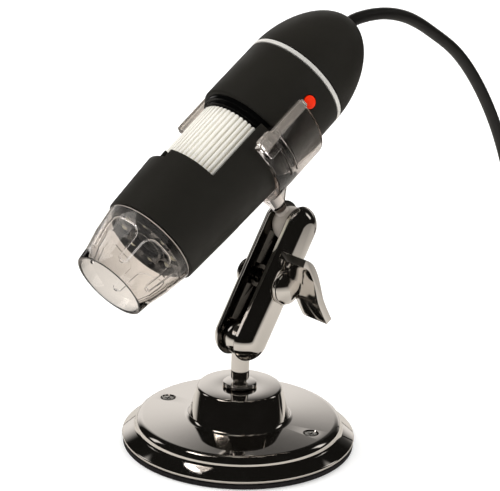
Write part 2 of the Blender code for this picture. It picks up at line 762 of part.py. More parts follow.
def line_sides(points, thickness):
    """Both sides of a middle line at half the thickness, as one closed outline."""
    left = []
    right = []
    for i, point in enumerate(points):
        before = Vector(points[max(i - 1, 0)])
        after = Vector(points[min(i + 1, len(points) - 1)])
        along = (after - before).normalized()
        across = Vector((-along.y, along.x)) * thickness / 2
        left.append(tuple(Vector(point) + across))
        right.append(tuple(Vector(point) - across))
    return left + right[::-1]


def smooth_line(points, steps):
    """Points on a smooth curve through the given ones."""
    padded = [points[0], *points, points[-1]]
    line = []
    for i in range(len(points) - 1):
        a, b, c, d = (Vector(p) for p in padded[i:i + 4])
        for k in range(steps):
            t = k / steps
            line.append(tuple(0.5 * (
                2 * b + (c - a) * t + (2 * a - 5 * b + 4 * c - d) * t**2 + (3 * b - a - 3 * c + d) * t**3
            )))
    line.append(tuple(Vector(points[-1])))
    return line


def make_lever(hub_bottom):
    """Wing lever: a bent leaf that stands on a round screwed hub."""
    hub_top = hub_bottom + LEVER_HUB_LENGTH
    bore_end = hub_bottom + LEVER_BORE_DEPTH
    lever = turned("wing_lever", rounded((
        (0.0, hub_top),
        (LEVER_HUB_RADIUS, hub_top, LEVER_HUB_ROUND),
        (LEVER_HUB_RADIUS, hub_bottom, EDGE),
        (BOLT_RADIUS + GAP, hub_bottom),
        (BOLT_RADIUS + GAP, bore_end),
        (0.0, bore_end),
    )), closed=False, steps=SMALL_STEPS)
    place(lever, clamp_frame)
    finish(lever, "chrome")
    root = hub_bottom + WING_START
    tip = hub_bottom + WING_REACH
    outline = line_sides(smooth_line(WING_LINE, 2), WING_THICKNESS)
    leaf = prism("wing_leaf", outline, root, tip, CUTTERS, WING_ROUND)
    low = min(y for x, y in outline) - EDGE
    high = max(y for x, y in outline) + EDGE
    side = prism("wing_side", rounded((
        (root - EDGE, high, WING_TOP_CORNER),
        (tip + EDGE, high, WING_TOP_CORNER),
        (tip + EDGE, low, EDGE),
        (root - EDGE, low, WING_CORNER),
    )), -PLATE_WIDTH, PLATE_WIDTH, CUTTERS)
    place(leaf, clamp_frame)
    place(side, clamp_frame, rotation=Matrix(((0, 0, 1), (0, 1, 0), (1, 0, 0))))
    combine(leaf, side, "INTERSECT")
    join(lever, leaf)


def make_nose_cap():
    """Clear push-on cap with an open mouth."""
    cap = turned("nose_cap", rounded((
        (CAP_REAR_RADIUS, CAP_REAR_STATION, EDGE),
        (CAP_BELLY_RADIUS, CAP_BELLY_STATION),
        (CAP_LIP_RADIUS, CAP_LIP_STATION),
        (CAP_MOUTH_RADIUS, 0.0, EDGE),
        (CAP_MOUTH_RADIUS - CAP_WALL, 0.0, EDGE),
        (CAP_LIP_RADIUS - CAP_WALL, CAP_LIP_STATION),
        (CAP_BELLY_RADIUS - CAP_WALL, CAP_BELLY_STATION),
        (CAP_BORE_REAR, CAP_REAR_STATION),
    )), closed=True)
    place(cap, scope_frame)
    finish(cap, "clear")


def make_front_barrel():
    """Front barrel with two windows open to the rear and bridges between them."""
    barrel = turned("front_barrel", rounded((
        (BARREL_RADIUS, BARREL_END_STATION),
        (BARREL_RADIUS, BARREL_RADIUS_STATION),
        (BARREL_WAIST_RADIUS, BARREL_WAIST_STATION),
        (BARREL_FRONT_RADIUS, BARREL_STATION, EDGE),
        (BARREL_FRONT_RADIUS - BARREL_WALL, BARREL_STATION),
        (BARREL_WAIST_RADIUS - BARREL_WALL, BARREL_WAIST_STATION),
        (BARREL_RADIUS - BARREL_WALL, BARREL_RADIUS_STATION),
        (BARREL_RADIUS - BARREL_WALL, BARREL_END_STATION),
    )), closed=True, steps=FINE_STEPS)
    place(barrel, scope_frame)
    finish(barrel, "soft_black")
    reach = (BARREL_RADIUS - 4 * BARREL_WALL, BARREL_RADIUS + 2 * BARREL_WALL)
    end = BARREL_END_STATION + BARREL_WALL
    windows = (
        ("window_step", WINDOW_FAR_ANGLE, WINDOW_STEP_ANGLE, WINDOW_STEP_STATION),
        ("window_top", WINDOW_STEP_ANGLE - 1.0, WINDOW_NEAR_ANGLE, WINDOW_STATION),
        ("window_bottom", LOWER_WINDOW_START, LOWER_WINDOW_END, WINDOW_STATION),
    )
    for name, first, last, station in windows:
        window = sector(name, *reach, first, last, station, end)
        place(window, scope_frame)
        cut(barrel, window)
    half_tab = degrees(TAB_WIDTH / BARREL_WAIST_RADIUS / 2)
    tab = sector(
        "window_tab",
        BARREL_WAIST_RADIUS - BARREL_WALL + EDGE,
        BARREL_WAIST_RADIUS - EDGE / 4,
        TAB_ANGLE - half_tab,
        TAB_ANGLE + half_tab,
        WINDOW_STEP_STATION - EDGE,
        WINDOW_STEP_STATION + TAB_HEIGHT,
    )
    place(tab, scope_frame)
    join(barrel, tab)


def make_rear_body():
    """Rear body with a stepped collar that closes its front, and the button's hole."""
    collar_bore = COLLAR_FRONT_RADIUS - COLLAR_WALL
    body = turned("rear_body", rounded((
        (REAR_END_RADIUS, REAR_END_STATION),
        (REAR_FRONT_RADIUS, REAR_FRONT_STATION, EDGE),
        (COLLAR_REAR_RADIUS, REAR_FRONT_STATION),
        (COLLAR_REAR_RADIUS, BARREL_END_STATION + GAP),
        (COLLAR_FRONT_RADIUS, BARREL_END_STATION + GAP),
        (COLLAR_FRONT_RADIUS, COLLAR_FRONT_STATION),
        (FOCUS_BORE, COLLAR_FRONT_STATION),
        (FOCUS_BORE, COLLAR_FRONT_STATION + COLLAR_WALL),
        (collar_bore, COLLAR_FRONT_STATION + COLLAR_WALL),
        (REAR_BORE, REAR_FRONT_STATION + REAR_WALL),
        (REAR_BORE, REAR_END_STATION),
    )), closed=True, steps=FINE_STEPS)
    place(body, scope_frame)
    finish(body, "soft_black")
    reach = 2 * REAR_END_RADIUS
    hole = disc("button_hole", BUTTON_RADIUS + GAP, 0.0, reach, SMALL_STEPS, CUTTERS)
    place(hole, scope_frame, (0, 0, BUTTON_STATION), button_turn())
    cut(body, hole)
    ring = turned("silver_ring", (
        (RING_RADIUS, RING_STATION + RING_LENGTH),
        (RING_RADIUS, RING_STATION),
        (SPIGOT_RADIUS + GAP, RING_STATION),
        (SPIGOT_RADIUS + GAP, RING_STATION + RING_LENGTH),
    ), closed=True)
    place(ring, scope_frame)
    finish(ring, "silver")


def button_turn():
    """Turns an upright part so that its own Z points out through the button."""
    return Matrix.Rotation(radians(BUTTON_ANGLE), 3, "Z") @ Matrix.Rotation(pi / 2, 3, "Y")


def dome(radius, length, station, bore, count):
    """Tail's rounded end from its bore out to its full radius, (radius, station) points."""
    points = []
    far = (1.0 - (bore / radius) ** 2) ** (1.0 / TAIL_FULLNESS)
    for i in range(count + 1):
        share = far * sin(pi / 2 * (1.0 - i / count))
        points.append((radius * sqrt(1.0 - share**TAIL_FULLNESS), station + length * share))
    return points


def make_tail():
    """Domed tail shell with a spigot into the rear body, and the cord's gland."""
    outer = dome(TAIL_RADIUS, TAIL_LENGTH, TAIL_STATION, GLAND_BORE, TAIL_POINTS)
    depth = TAIL_LENGTH - TAIL_WALL
    inner = dome(TAIL_RADIUS - TAIL_WALL, depth, TAIL_STATION, GLAND_BORE, TAIL_INNER_POINTS)
    spigot = [
        (SPIGOT_RADIUS, TAIL_STATION),
        (SPIGOT_RADIUS, RING_STATION - SPIGOT_LENGTH),
        (SPIGOT_RADIUS - SPIGOT_WALL, RING_STATION - SPIGOT_LENGTH),
        (SPIGOT_RADIUS - SPIGOT_WALL, TAIL_STATION + SPIGOT_WALL),
    ]
    lining = [point for point in inner[::-1] if point[1] > TAIL_STATION + 2 * SPIGOT_WALL]
    tail = turned("tail_dome", outer + spigot + lining, closed=True)
    place(tail, scope_frame)
    finish(tail, "soft_black")
    flange_share = (1.0 - (GLAND_FLANGE_RADIUS / (TAIL_RADIUS - TAIL_WALL)) ** 2) ** (1.0 / TAIL_FULLNESS)
    flange_top = TAIL_STATION + depth * flange_share - 2 * GAP
    flange_bottom = flange_top - GLAND_FLANGE_THICKNESS
    gland = turned("cord_gland", rounded((
        (0.0, GLAND_END_STATION),
        (GLAND_RADIUS, GLAND_END_STATION, EDGE),
        (GLAND_RADIUS, flange_top),
        (GLAND_FLANGE_RADIUS, flange_top),
        (GLAND_FLANGE_RADIUS, flange_bottom),
        (0.0, flange_bottom),
    )), closed=False, steps=SMALL_STEPS)
    place(gland, scope_frame)
    finish(gland, "black_rubber")


def make_lamps():
    """Glossy lamp face with pockets, eight lamps and the board behind them."""
    face = turned("lamp_face", rounded((
        (BARREL_FRONT_RADIUS - BARREL_WALL - GAP, LAMP_BACK_STATION),
        (BARREL_FRONT_RADIUS - BARREL_WALL - GAP, LAMP_BACK_STATION - LAMP_FLANGE_THICKNESS),
        (LAMP_RIM_RADIUS, LAMP_BACK_STATION - LAMP_FLANGE_THICKNESS),
        (LAMP_RIM_RADIUS, LAMP_FACE_STATION, EDGE),
        (LENS_HOLE_RADIUS, LAMP_FACE_STATION),
        (LENS_HOLE_RADIUS, LAMP_BACK_STATION),
    )), closed=True, steps=FINE_STEPS)
    place(face, scope_frame)
    finish(face, "gloss_black")
    lamp_shape = [(0.0, -LED_HEIGHT)] + arc((0, LED_RADIUS - LED_HEIGHT), LED_RADIUS, 0.0, -90.0, 3)[-2::-1]
    lamp_profile = [(r, -z) for r, z in lamp_shape] + [(LED_RADIUS, 0.0), (0.0, 0.0)]
    facing = Matrix.Rotation(pi, 3, "X")
    for number in range(LED_COUNT):
        angle = 2 * pi * (number + 0.5) / LED_COUNT
        spot = (LED_CIRCLE_RADIUS * cos(angle), LED_CIRCLE_RADIUS * sin(angle), LAMP_BACK_STATION)
        depth = 2 * LAMP_FACE_THICKNESS
        pocket = disc(f"led_pocket_{number + 1}", LED_POCKET_RADIUS, -GAP, depth, TINY_STEPS, CUTTERS)
        place(pocket, scope_frame, spot, facing)
        cut(face, pocket)
        lamp = turned(f"led_{number + 1}", lamp_profile, closed=False, steps=TINY_STEPS)
        place(lamp, scope_frame, spot, facing)
        finish(lamp, "lamp")
    board_front = LAMP_BACK_STATION + GAP
    board = turned("led_board", (
        (BARREL_FRONT_RADIUS - BARREL_WALL - GAP, board_front + LED_BOARD_THICKNESS),
        (BARREL_FRONT_RADIUS - BARREL_WALL - GAP, board_front),
        (LENS_HOLE_RADIUS, board_front),
        (LENS_HOLE_RADIUS, board_front + LED_BOARD_THICKNESS),
    ), closed=True, steps=FINE_STEPS)
    place(board, scope_frame)
    finish(board, "board")


def make_optics():
    """Lens in its sliding tube, the guide tube round it and the image sensor behind."""
    bore = LENS_TUBE_RADIUS - LENS_TUBE_WALL
    tube = turned("lens_barrel", rounded((
        (CARRIAGE_RADIUS, CARRIAGE_END_STATION),
        (CARRIAGE_RADIUS, CARRIAGE_STATION, EDGE),
        (LENS_TUBE_RADIUS, CARRIAGE_STATION),
        (LENS_TUBE_RADIUS, LENS_TUBE_STATION, EDGE / 2),
        (bore, LENS_TUBE_STATION),
        (bore, CARRIAGE_STATION + CARRIAGE_WALL),
        (CARRIAGE_RADIUS - CARRIAGE_WALL, CARRIAGE_STATION + CARRIAGE_WALL),
        (CARRIAGE_RADIUS - CARRIAGE_WALL, CARRIAGE_END_STATION),
    )), closed=True, steps=SMALL_STEPS)
    place(tube, scope_frame)
    finish(tube, "soft_black")
    half = LENS_THICKNESS / 2
    rim = bore - GAP
    sphere = (rim**2 + half**2) / LENS_THICKNESS
    spread = degrees(atan2(rim, sphere - half))
    back = arc((0, half - sphere), sphere, 90.0, 90.0 - spread, 4)
    front = [(r, -z) for r, z in back[::-1]]
    back[0] = (0.0, half)
    front[-1] = (0.0, -half)
    outline = back[:-1] + [(rim, EDGE / 2), (rim, -EDGE / 2)] + front[1:]
    lens = turned("lens", outline, closed=False, steps=SMALL_STEPS)
    place(lens, scope_frame, (0, 0, LENS_TUBE_STATION + LENS_INSET + half))
    finish(lens, "glass")
    guide = turned("guide_tube", (
        (GUIDE_FLANGE_RADIUS, GUIDE_END_STATION),
        (GUIDE_FLANGE_RADIUS, GUIDE_FLANGE_STATION),
        (GUIDE_RADIUS, GUIDE_FLANGE_STATION),
        (GUIDE_RADIUS, GUIDE_STATION),
        (GUIDE_BORE, GUIDE_STATION),
        (GUIDE_BORE, GUIDE_END_STATION),
    ), closed=True, steps=SMALL_STEPS)
    place(guide, scope_frame)
    finish(guide, "soft_black")
    board = disc(
        "sensor_board",
        SENSOR_BOARD_RADIUS,
        SENSOR_BOARD_STATION,
        SENSOR_BOARD_STATION + SENSOR_BOARD_THICKNESS,
        SMALL_STEPS,
    )
    place(board, scope_frame)
    finish(board, "board")
    sensor = box(
        "image_sensor",
        (SENSOR_SIZE, SENSOR_SIZE, SENSOR_THICKNESS),
        (0, 0, SENSOR_BOARD_STATION - GAP - SENSOR_THICKNESS / 2),
    )
    place(sensor, scope_frame)
    finish(sensor, "sensor")


def make_focus_ring():
    """Ribbed ring that turns on the guide tube."""
    outline = []
    step = 2 * pi / FOCUS_RIBS
    low = FOCUS_RADIUS - FOCUS_RIB_DEPTH
    rib_corners = (
        (low, -FOCUS_RIB_FOOT),
        (FOCUS_RADIUS, -FOCUS_RIB_TOP),
        (FOCUS_RADIUS, FOCUS_RIB_TOP),
        (low, FOCUS_RIB_FOOT),
    )
    for rib in range(FOCUS_RIBS):
        for radius, share in rib_corners:
            angle = step * (rib + share)
            outline.append((radius * cos(angle), radius * sin(angle)))
    ring = prism("focus_ring", outline, FOCUS_STATION, FOCUS_STATION + FOCUS_LENGTH)
    bore = disc(
        "focus_bore",
        FOCUS_BORE,
        FOCUS_STATION - FOCUS_LENGTH,
        FOCUS_STATION + 2 * FOCUS_LENGTH,
        FINE_STEPS,
        CUTTERS,
    )
    place(ring, scope_frame)
    place(bore, scope_frame)
    cut(ring, bore)
    finish(ring, "ivory")


def make_button():
    """Round button, the switch under it and the board that carries the switch."""
    shares = (BUTTON_STATION - REAR_FRONT_STATION) / (REAR_END_STATION - REAR_FRONT_STATION)
    skin = REAR_FRONT_RADIUS + (REAR_END_RADIUS - REAR_FRONT_RADIUS) * shares
    top = skin + BUTTON_PROUD
    flange_top = sqrt(REAR_BORE**2 - BUTTON_FLANGE_RADIUS**2) - GAP
    flange_bottom = flange_top - BUTTON_FLANGE_THICKNESS
    sphere = (BUTTON_RADIUS**2 + BUTTON_CROWN**2) / (2 * BUTTON_CROWN)
    spread = degrees(atan2(BUTTON_RADIUS, sphere - BUTTON_CROWN))
    crown = arc((0, top - sphere), sphere, 90.0, 90.0 - spread, 4)
    crown[0] = (0.0, top)
    button = turned("snap_button", crown + [
        (BUTTON_RADIUS, flange_top),
        (BUTTON_FLANGE_RADIUS, flange_top),
        (BUTTON_FLANGE_RADIUS, flange_bottom),
        (0.0, flange_bottom),
    ], closed=False, steps=SMALL_STEPS)
    seat = (0, 0, BUTTON_STATION)
    place(button, scope_frame, seat, button_turn())
    finish(button, "red")
    plunger_top = flange_bottom - BUTTON_TRAVEL - SWITCH_REST_GAP
    case_top = plunger_top - PLUNGER_HEIGHT
    shape = bmesh.new()
    lift = Matrix.Translation((0, 0, case_top - SWITCH_HEIGHT / 2))
    sized = Matrix.Diagonal((SWITCH_SIZE, SWITCH_SIZE, SWITCH_HEIGHT, 1.0))
    bmesh.ops.create_cube(shape, size=1.0, matrix=lift @ sized)
    roof = max(shape.faces, key=lambda face: face.calc_center_median().z)
    bmesh.ops.inset_region(shape, faces=[roof], thickness=(SWITCH_SIZE - PLUNGER_SIZE) / 2)
    raised = bmesh.ops.extrude_discrete_faces(shape, faces=[roof])["faces"]
    bmesh.ops.translate(shape, verts=raised[0].verts, vec=(0, 0, PLUNGER_HEIGHT))
    switch = mesh_object("tact_switch", shape)
    place(switch, scope_frame, seat, button_turn())
    finish(switch, "gloss_black")
    board_top = case_top - SWITCH_HEIGHT - GAP
    board_front = SENSOR_BOARD_STATION + SENSOR_BOARD_THICKNESS + GAP - BUTTON_STATION
    board = box(
        "button_board",
        (BUTTON_BOARD_LENGTH, BUTTON_BOARD_WIDTH, BUTTON_BOARD_THICKNESS),
        (-board_front - BUTTON_BOARD_LENGTH / 2, 0, board_top - BUTTON_BOARD_THICKNESS / 2),
    )
    place(board, scope_frame, seat, button_turn())
    finish(board, "board")


def make_holder():
    """Clear holder: an open ring with thick lips, a gusset, a stem and the ball."""
    bottom = HOLDER_FRONT_STATION - BALL_STATION
    top = bottom + HOLDER_LENGTH
    lip = degrees(LIP_WIDTH / HOLDER_RADIUS)
    wrap = HOLDER_HALF_WRAP
    outline = (
        arc((0, 0), LIP_RADIUS, -wrap, -wrap + lip, 2)
        + arc((0, 0), HOLDER_RADIUS, -wrap + lip, wrap - lip, 26)
        + arc((0, 0), LIP_RADIUS, wrap - lip, wrap, 2)
        + arc((0, 0), HOLDER_BORE, wrap, -wrap, 28)
    )
    holder = prism("holder", outline, bottom, top)
    place(holder, head_frame, (-AXIS_TO_BALL, 0, 0))
    finish(holder, "clear")
    wall_middle = HOLDER_RADIUS - STEM_SINK
    stem = turned("holder_stem", (
        (0.0, 0.0),
        (HOLDER_NECK_RADIUS, 0.0),
        (HOLDER_NECK_RADIUS, -PLATE_WIDTH / 2),
        (HOLDER_STEM_RADIUS, wall_middle - AXIS_TO_BALL),
        (0.0, wall_middle - AXIS_TO_BALL),
    ), closed=False, steps=16, collection=CUTTERS)
    place(stem, head_frame, rotation=Matrix.Rotation(pi / 2, 3, "Y"))
    knob = ball("holder_ball", BALL_RADIUS, (0, 0, 0), CUTTERS)
    place(knob, head_frame)
    near = wall_middle - AXIS_TO_BALL
    far = HOLDER_RADIUS - AXIS_TO_BALL + GUSSET_DROP
    gusset = prism("holder_gusset", rounded((
        (near, GUSSET_FRONT + EDGE),
        (near, GUSSET_REAR),
        (far, GUSSET_TIP),
        (far, -GUSSET_TIP),
    )), -GUSSET_THICKNESS / 2, GUSSET_THICKNESS / 2, CUTTERS)
    place(gusset, head_frame, rotation=Matrix.Rotation(pi / 2, 3, "X"))
    nub_turn = Matrix.Rotation(radians(-wrap), 3, "Z")
    nub = box(
        "holder_nub",
        (NUB_RADIUS - HOLDER_BORE - EDGE, NUB_WIDTH, NUB_LENGTH),
        ((NUB_RADIUS + HOLDER_BORE + EDGE) / 2, NUB_WIDTH / 2 - EDGE, bottom + NUB_LENGTH / 2 + EDGE),
        CUTTERS,
        EDGE,
    )
    place(nub, head_frame, (-AXIS_TO_BALL, 0, 0), nub_turn)
    for piece in (stem, gusset, knob, nub):
        join(holder, piece)


def tube(name, points, sides):
    """Tube along a line of points, as a curve with filled ends."""
    curve = bpy.data.curves.new(name, "CURVE")
    curve.dimensions = "3D"
    curve.bevel_depth = CORD_RADIUS
    curve.bevel_resolution = sides
    curve.use_fill_caps = True
    line = curve.splines.new("POLY")
    line.points.add(len(points) - 1)
    for spot, point in zip(line.points, points):
        spot.co = (*point, 1.0)
    part = bpy.data.objects.new(name, curve)
    PARTS.objects.link(part)
    finish(part, "black_rubber")
    return part


def even_line(points, step):
    """The same smooth route with points an even step apart."""
    fine = [Vector(p) for p in smooth_line(points, 12)]
    lengths = [0.0]
    for a, b in zip(fine, fine[1:]):
        lengths.append(lengths[-1] + (b - a).length)
    count = max(2, round(lengths[-1] / step))
    line = []
    k = 0
    for i in range(count + 1):
        goal = lengths[-1] * i / count
        while k < len(fine) - 2 and lengths[k + 1] < goal:
            k += 1
        share = (goal - lengths[k]) / (lengths[k + 1] - lengths[k])
        line.append(tuple(fine[k].lerp(fine[k + 1], share)))
    return line


def coil_points():
    """Coil wound inward on the table and outward on top, climbing where the spiral turns back."""
    middle = Vector(COIL_START) + Vector((COIL_RADIUS, 2 * CORD_RADIUS, 0))
    points = [tuple(COIL_START)]
    for i in range(COIL_TURNS * COIL_POINTS_PER_TURN + 1):
        turn = i / COIL_POINTS_PER_TURN
        radius = COIL_RADIUS - COIL_PITCH * (COIL_LAYER_TURNS - abs(turn - COIL_LAYER_TURNS))
        climb = (turn - COIL_LAYER_TURNS) / COIL_CLIMB_TURNS + 0.5
        climb = min(max(climb, 0.0), 1.0)
        rise = COIL_LAYER_RISE * climb * climb * (3 - 2 * climb)
        angle = pi - 2 * pi * turn
        points.append(tuple(middle + Vector((radius * cos(angle), radius * sin(angle), rise))))
    end = Vector(points[-1])
    points.append(tuple(end + Vector((0, 2 * CORD_RADIUS, 0))))
    return points


def self_gap(points):
    """Least gap between turns of the coil, measured on points along its middle line."""
    fine = even_line(points, CORD_RADIUS / 2)
    spots = [Vector(p) for p in fine]
    skip = int(pi * (COIL_RADIUS - COIL_PITCH * COIL_LAYER_TURNS) / (CORD_RADIUS / 2))
    least = min(
        (spots[i] - spots[j]).length
        for i in range(0, len(spots), 3)
        for j in range(i + skip, len(spots), 2)
    )
    return least - 2 * CORD_RADIUS


def make_cord():
    """Cord from the gland to the table, its coil, the short tail and the plug."""
    tilt = scope_frame.matrix_world
    exit_point = tilt @ Vector((0, 0, GLAND_END_STATION + GAP))
    straight = tilt @ Vector((0, 0, GLAND_END_STATION + GAP + CORD_STRAIGHT))
    coil = coil_points()
    run_end = Vector(coil[0]) - Vector((0, GAP, 0))
    before_end = run_end - Vector((0, 2 * CORD_RADIUS, 0))
    free = even_line([tuple(straight), *CORD_ROUTE, tuple(before_end)], CORD_STEP)
    tube("cord_run", [tuple(exit_point), *free, tuple(run_end)], 2)
    tube("cord_coil", coil, 1)
    tail_start = Vector(coil[-1]) + Vector((0, GAP, 0))
    square = tail_start + Vector((0, 2 * CORD_RADIUS, 0))
    hops = [tuple(tail_start + Vector(p)) for p in TAIL_ROUTE]
    tail = [tuple(tail_start), *even_line([tuple(square), *hops], CORD_STEP)]
    tail.append((hops[-1][0] + 2 * CORD_RADIUS, hops[-1][1], hops[-1][2]))
    tube("cord_tail", tail, 2)
    print("coil self gap, mm:", round(self_gap(coil) * 1000, 3))
    spans = [span for line in (free, coil, tail) for span in zip(line, line[1:])]
    total = sum((Vector(b) - Vector(a)).length for a, b in spans)
    print("cord length, m:", round(total, 3))
    make_plug(Vector(tail[-1]))


def make_plug(cord_end):
    """Moulded grip with a tapered neck, and the flat metal shell of the plug."""
    height = max(PLUG_GRIP_HEIGHT / 2, cord_end.z)
    seat = (cord_end.x + GAP, cord_end.y, height)
    neck = turned("usb_neck", (
        (0.0, PLUG_NECK_LENGTH + EDGE),
        (PLUG_NECK_RADIUS, PLUG_NECK_LENGTH + EDGE),
        (CORD_RADIUS + EDGE, 0.0),
        (0.0, 0.0),
    ), closed=False, steps=TINY_STEPS, collection=CUTTERS)
    along_x = Matrix.Rotation(pi / 2, 3, "Y")
    place(neck, None, seat, along_x)
    grip_middle = PLUG_NECK_LENGTH + PLUG_GRIP_LENGTH / 2
    grip = box(
        "usb_plug_grip",
        (PLUG_GRIP_LENGTH, PLUG_GRIP_WIDTH, PLUG_GRIP_HEIGHT),
        (grip_middle, 0, 0),
        round_edges=0.0015,
    )
    place(grip, None, seat)
    finish(grip, "black_rubber")
    join(grip, neck)
    front = PLUG_NECK_LENGTH + PLUG_GRIP_LENGTH + GAP
    shell = box(
        "usb_plug_shell",
        (PLUG_SHELL_LENGTH, PLUG_SHELL_WIDTH, PLUG_SHELL_HEIGHT),
        (front + PLUG_SHELL_LENGTH / 2, 0, 0),
    )
    place(shell, None, seat)
    finish(shell, "silver")
    hollow = (
        PLUG_SHELL_DEPTH + EDGE,
        PLUG_SHELL_WIDTH - 2 * PLUG_SHELL_WALL,
        PLUG_SHELL_HEIGHT - 2 * PLUG_SHELL_WALL,
    )
    mouth = box("usb_mouth", hollow, (front + PLUG_SHELL_LENGTH + EDGE - hollow[0] / 2, 0, 0), CUTTERS)
    place(mouth, None, seat)
    cut(shell, mouth)


make_base()
make_stud()
make_arm()
make_clamp()
make_nose_cap()
make_front_barrel()
make_rear_body()
make_tail()
make_lamps()
make_optics()
make_focus_ring()
make_button()
make_holder()
make_cord()
bpy.context.view_layer.update()
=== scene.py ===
"""Looks of the USB digital microscope on its chrome stand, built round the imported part.

Metres, +Z up, in the part's own frame. Sizes that the part also has carry the part's names.
"""

from math import atan2, cos, degrees, pi, radians, sin, sqrt, tan

import bmesh
import bpy
from mathutils import Matrix, Vector


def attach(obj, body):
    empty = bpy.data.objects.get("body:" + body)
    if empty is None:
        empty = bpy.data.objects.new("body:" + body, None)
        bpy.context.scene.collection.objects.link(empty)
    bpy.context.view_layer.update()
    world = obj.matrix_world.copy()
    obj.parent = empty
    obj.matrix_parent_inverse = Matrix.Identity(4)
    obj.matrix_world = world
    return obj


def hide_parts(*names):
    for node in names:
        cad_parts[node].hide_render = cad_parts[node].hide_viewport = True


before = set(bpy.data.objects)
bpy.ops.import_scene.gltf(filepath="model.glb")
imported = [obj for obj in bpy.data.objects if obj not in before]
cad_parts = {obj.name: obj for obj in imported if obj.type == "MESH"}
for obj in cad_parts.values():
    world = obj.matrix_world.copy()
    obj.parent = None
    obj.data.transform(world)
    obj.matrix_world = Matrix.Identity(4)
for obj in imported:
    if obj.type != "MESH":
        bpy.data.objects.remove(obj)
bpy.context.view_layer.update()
bpy.ops.object.select_all(action="DESELECT")

# Clearances, and how finely round shapes are divided
GAP = 0.0003
EDGE = 0.0004
CRISP_EDGE = 0.0002
SHARP_EDGE = 0.0001
BASE_STEPS = 192
TURNED_STEPS = 144
SMALL_STEPS = 64
FINE_STEPS = 32
# Places that are closer than this are the same
SAME = 0.000001
# Past both sides of every wall that a cutter goes through
CUTTER_REACH = 0.02

# Stand
RIM_RADIUS = 0.0353
RIM_ROUND = 0.0006
RIM_HEIGHT = 0.0010
PAD_RADIUS = RIM_RADIUS - 0.0005
PAD_THICKNESS = 0.0014
BASE_BOTTOM = PAD_THICKNESS + 0.0003
FLANGE_RADIUS = 0.0316
FLANGE_HEIGHT = 0.0050
SHOULDER_RADIUS = 0.0312
SHOULDER_ROUND = 0.0024
STEP_HEIGHT = 0.0057
DISC_EDGE_HEIGHT = 0.0082
DISC_HUB_HEIGHT = 0.0086
HUB_FOOT_RADIUS = 0.0153
HUB_FOOT_ROUND = 0.0015
HUB_TOP_RADIUS = 0.01265
HUB_TOP_HEIGHT = 0.0182
HUB_TOP_ROUND = 0.0008
HUB_WALL = 0.0024
HUB_CEILING = 0.0030
BASE_WALL = 0.0023
BALL_RADIUS = 0.0055
BALL_HEIGHT = 0.0340
STEM_RADIUS = 0.00275
STEM_FOOT_HEIGHT = 0.0012
COLLAR_RADIUS = 0.0051
COLLAR_HEIGHT = 0.0011
STUD_SHANK_RADIUS = 0.0020
STUD_SHANK_END = 0.0090
SCREW_CIRCLE_RADIUS = RIM_RADIUS - 0.0107
SCREW_ANGLES = (17.5, 197.5)
SCREW_HEAD_RADIUS = 0.0018
SCREW_SHANK_RADIUS = 0.0011
SCREW_LENGTH = 0.0056
SCREW_SINK = 0.0002

# Arm and clamp
ARM_LEAN = 31.6
BALL_SPACING = 0.0367
PLATE_WIDTH = 0.0130
PLATE_THICKNESS = 0.0045
PLATE_ROUND = 0.0042
PLATE_INNER = 0.00325
PLATE_OUTER = PLATE_INNER + PLATE_THICKNESS
SEAT_CLEARANCE = 0.00035
POCKET_DEPTH = 0.0024
POCKET_WIDTH = 0.0072
BALL_TO_POCKET = 0.0035
CLAMP_STATION = 0.0190
CLAMP_BOSS_RADIUS = 0.0035
BOLT_RADIUS = 0.0020
BOLT_HEAD_RADIUS = 0.0040
BOLT_HEAD_RIM = 0.0007
BOLT_CROWN = 0.0015
WASHER_RADIUS = 0.0056
WASHER_THICKNESS = 0.0010
WASHER_BOTTOM = PLATE_OUTER + GAP
LEVER_BOTTOM = WASHER_BOTTOM + WASHER_THICKNESS + GAP
LEVER_HUB_RADIUS = 0.0053
LEVER_HUB_LENGTH = 0.0022
LEVER_HUB_RIM = 0.0003
LEVER_BORE_DEPTH = 0.0014
WING_START = 0.0015
WING_REACH = 0.0115
WING_THICKNESS = 0.0023
WING_TOP_CORNER = 0.0016
WING_ROOT_CORNER = 0.0022

# Microscope on the stand
PITCH = 32.72
HEAD_TURN = 90.0 - 8.5
AXIS_TO_BALL = 0.0336
BALL_STATION = 0.0595

# Microscope shells, radii and stations from the nose cap's mouth
CAP_REAR_STATION = 0.0184
CAP_WALL = 0.0010
# Along the outside of the nose cap from its mouth to its rear, (station, radius)
CAP_LINE = ((0.0, 0.01158), (0.0042, 0.0121), (0.0102, 0.0136), (CAP_REAR_STATION, 0.0148))
CAP_BORE_REAR = CAP_LINE[-1][1] - CAP_WALL
BARREL_RADIUS = 0.01696
BARREL_FRONT_RADIUS = 0.01535
BARREL_STATION = 0.0187
BARREL_WAIST_RADIUS = 0.0162
BARREL_WAIST_STATION = 0.0353
BARREL_RADIUS_STATION = 0.0549
BARREL_END_STATION = 0.0622
BARREL_WALL = 0.0016
COLLAR_FRONT_RADIUS = 0.0145
COLLAR_REAR_RADIUS = 0.0155
COLLAR_FRONT_STATION = 0.0615
COLLAR_WALL = 0.0015
REAR_FRONT_RADIUS = 0.0168
REAR_FRONT_STATION = 0.0640
REAR_END_STATION = 0.0855
REAR_END_RADIUS = 0.0166
REAR_WALL = 0.0016
REAR_BORE = REAR_END_RADIUS - REAR_WALL
RING_STATION = REAR_END_STATION + GAP
RING_RADIUS = 0.01665
RING_LENGTH = 0.0013
TAIL_STATION = RING_STATION + RING_LENGTH + GAP
TAIL_RADIUS = 0.01655
TAIL_LENGTH = 0.0255
TAIL_FULLNESS = 1.75
TAIL_WALL = 0.0018
SPIGOT_LENGTH = 0.0040
SPIGOT_WALL = 0.0014
GLAND_RADIUS = 0.0029
GLAND_BORE = GLAND_RADIUS + GAP
GLAND_START_STATION = 0.1075
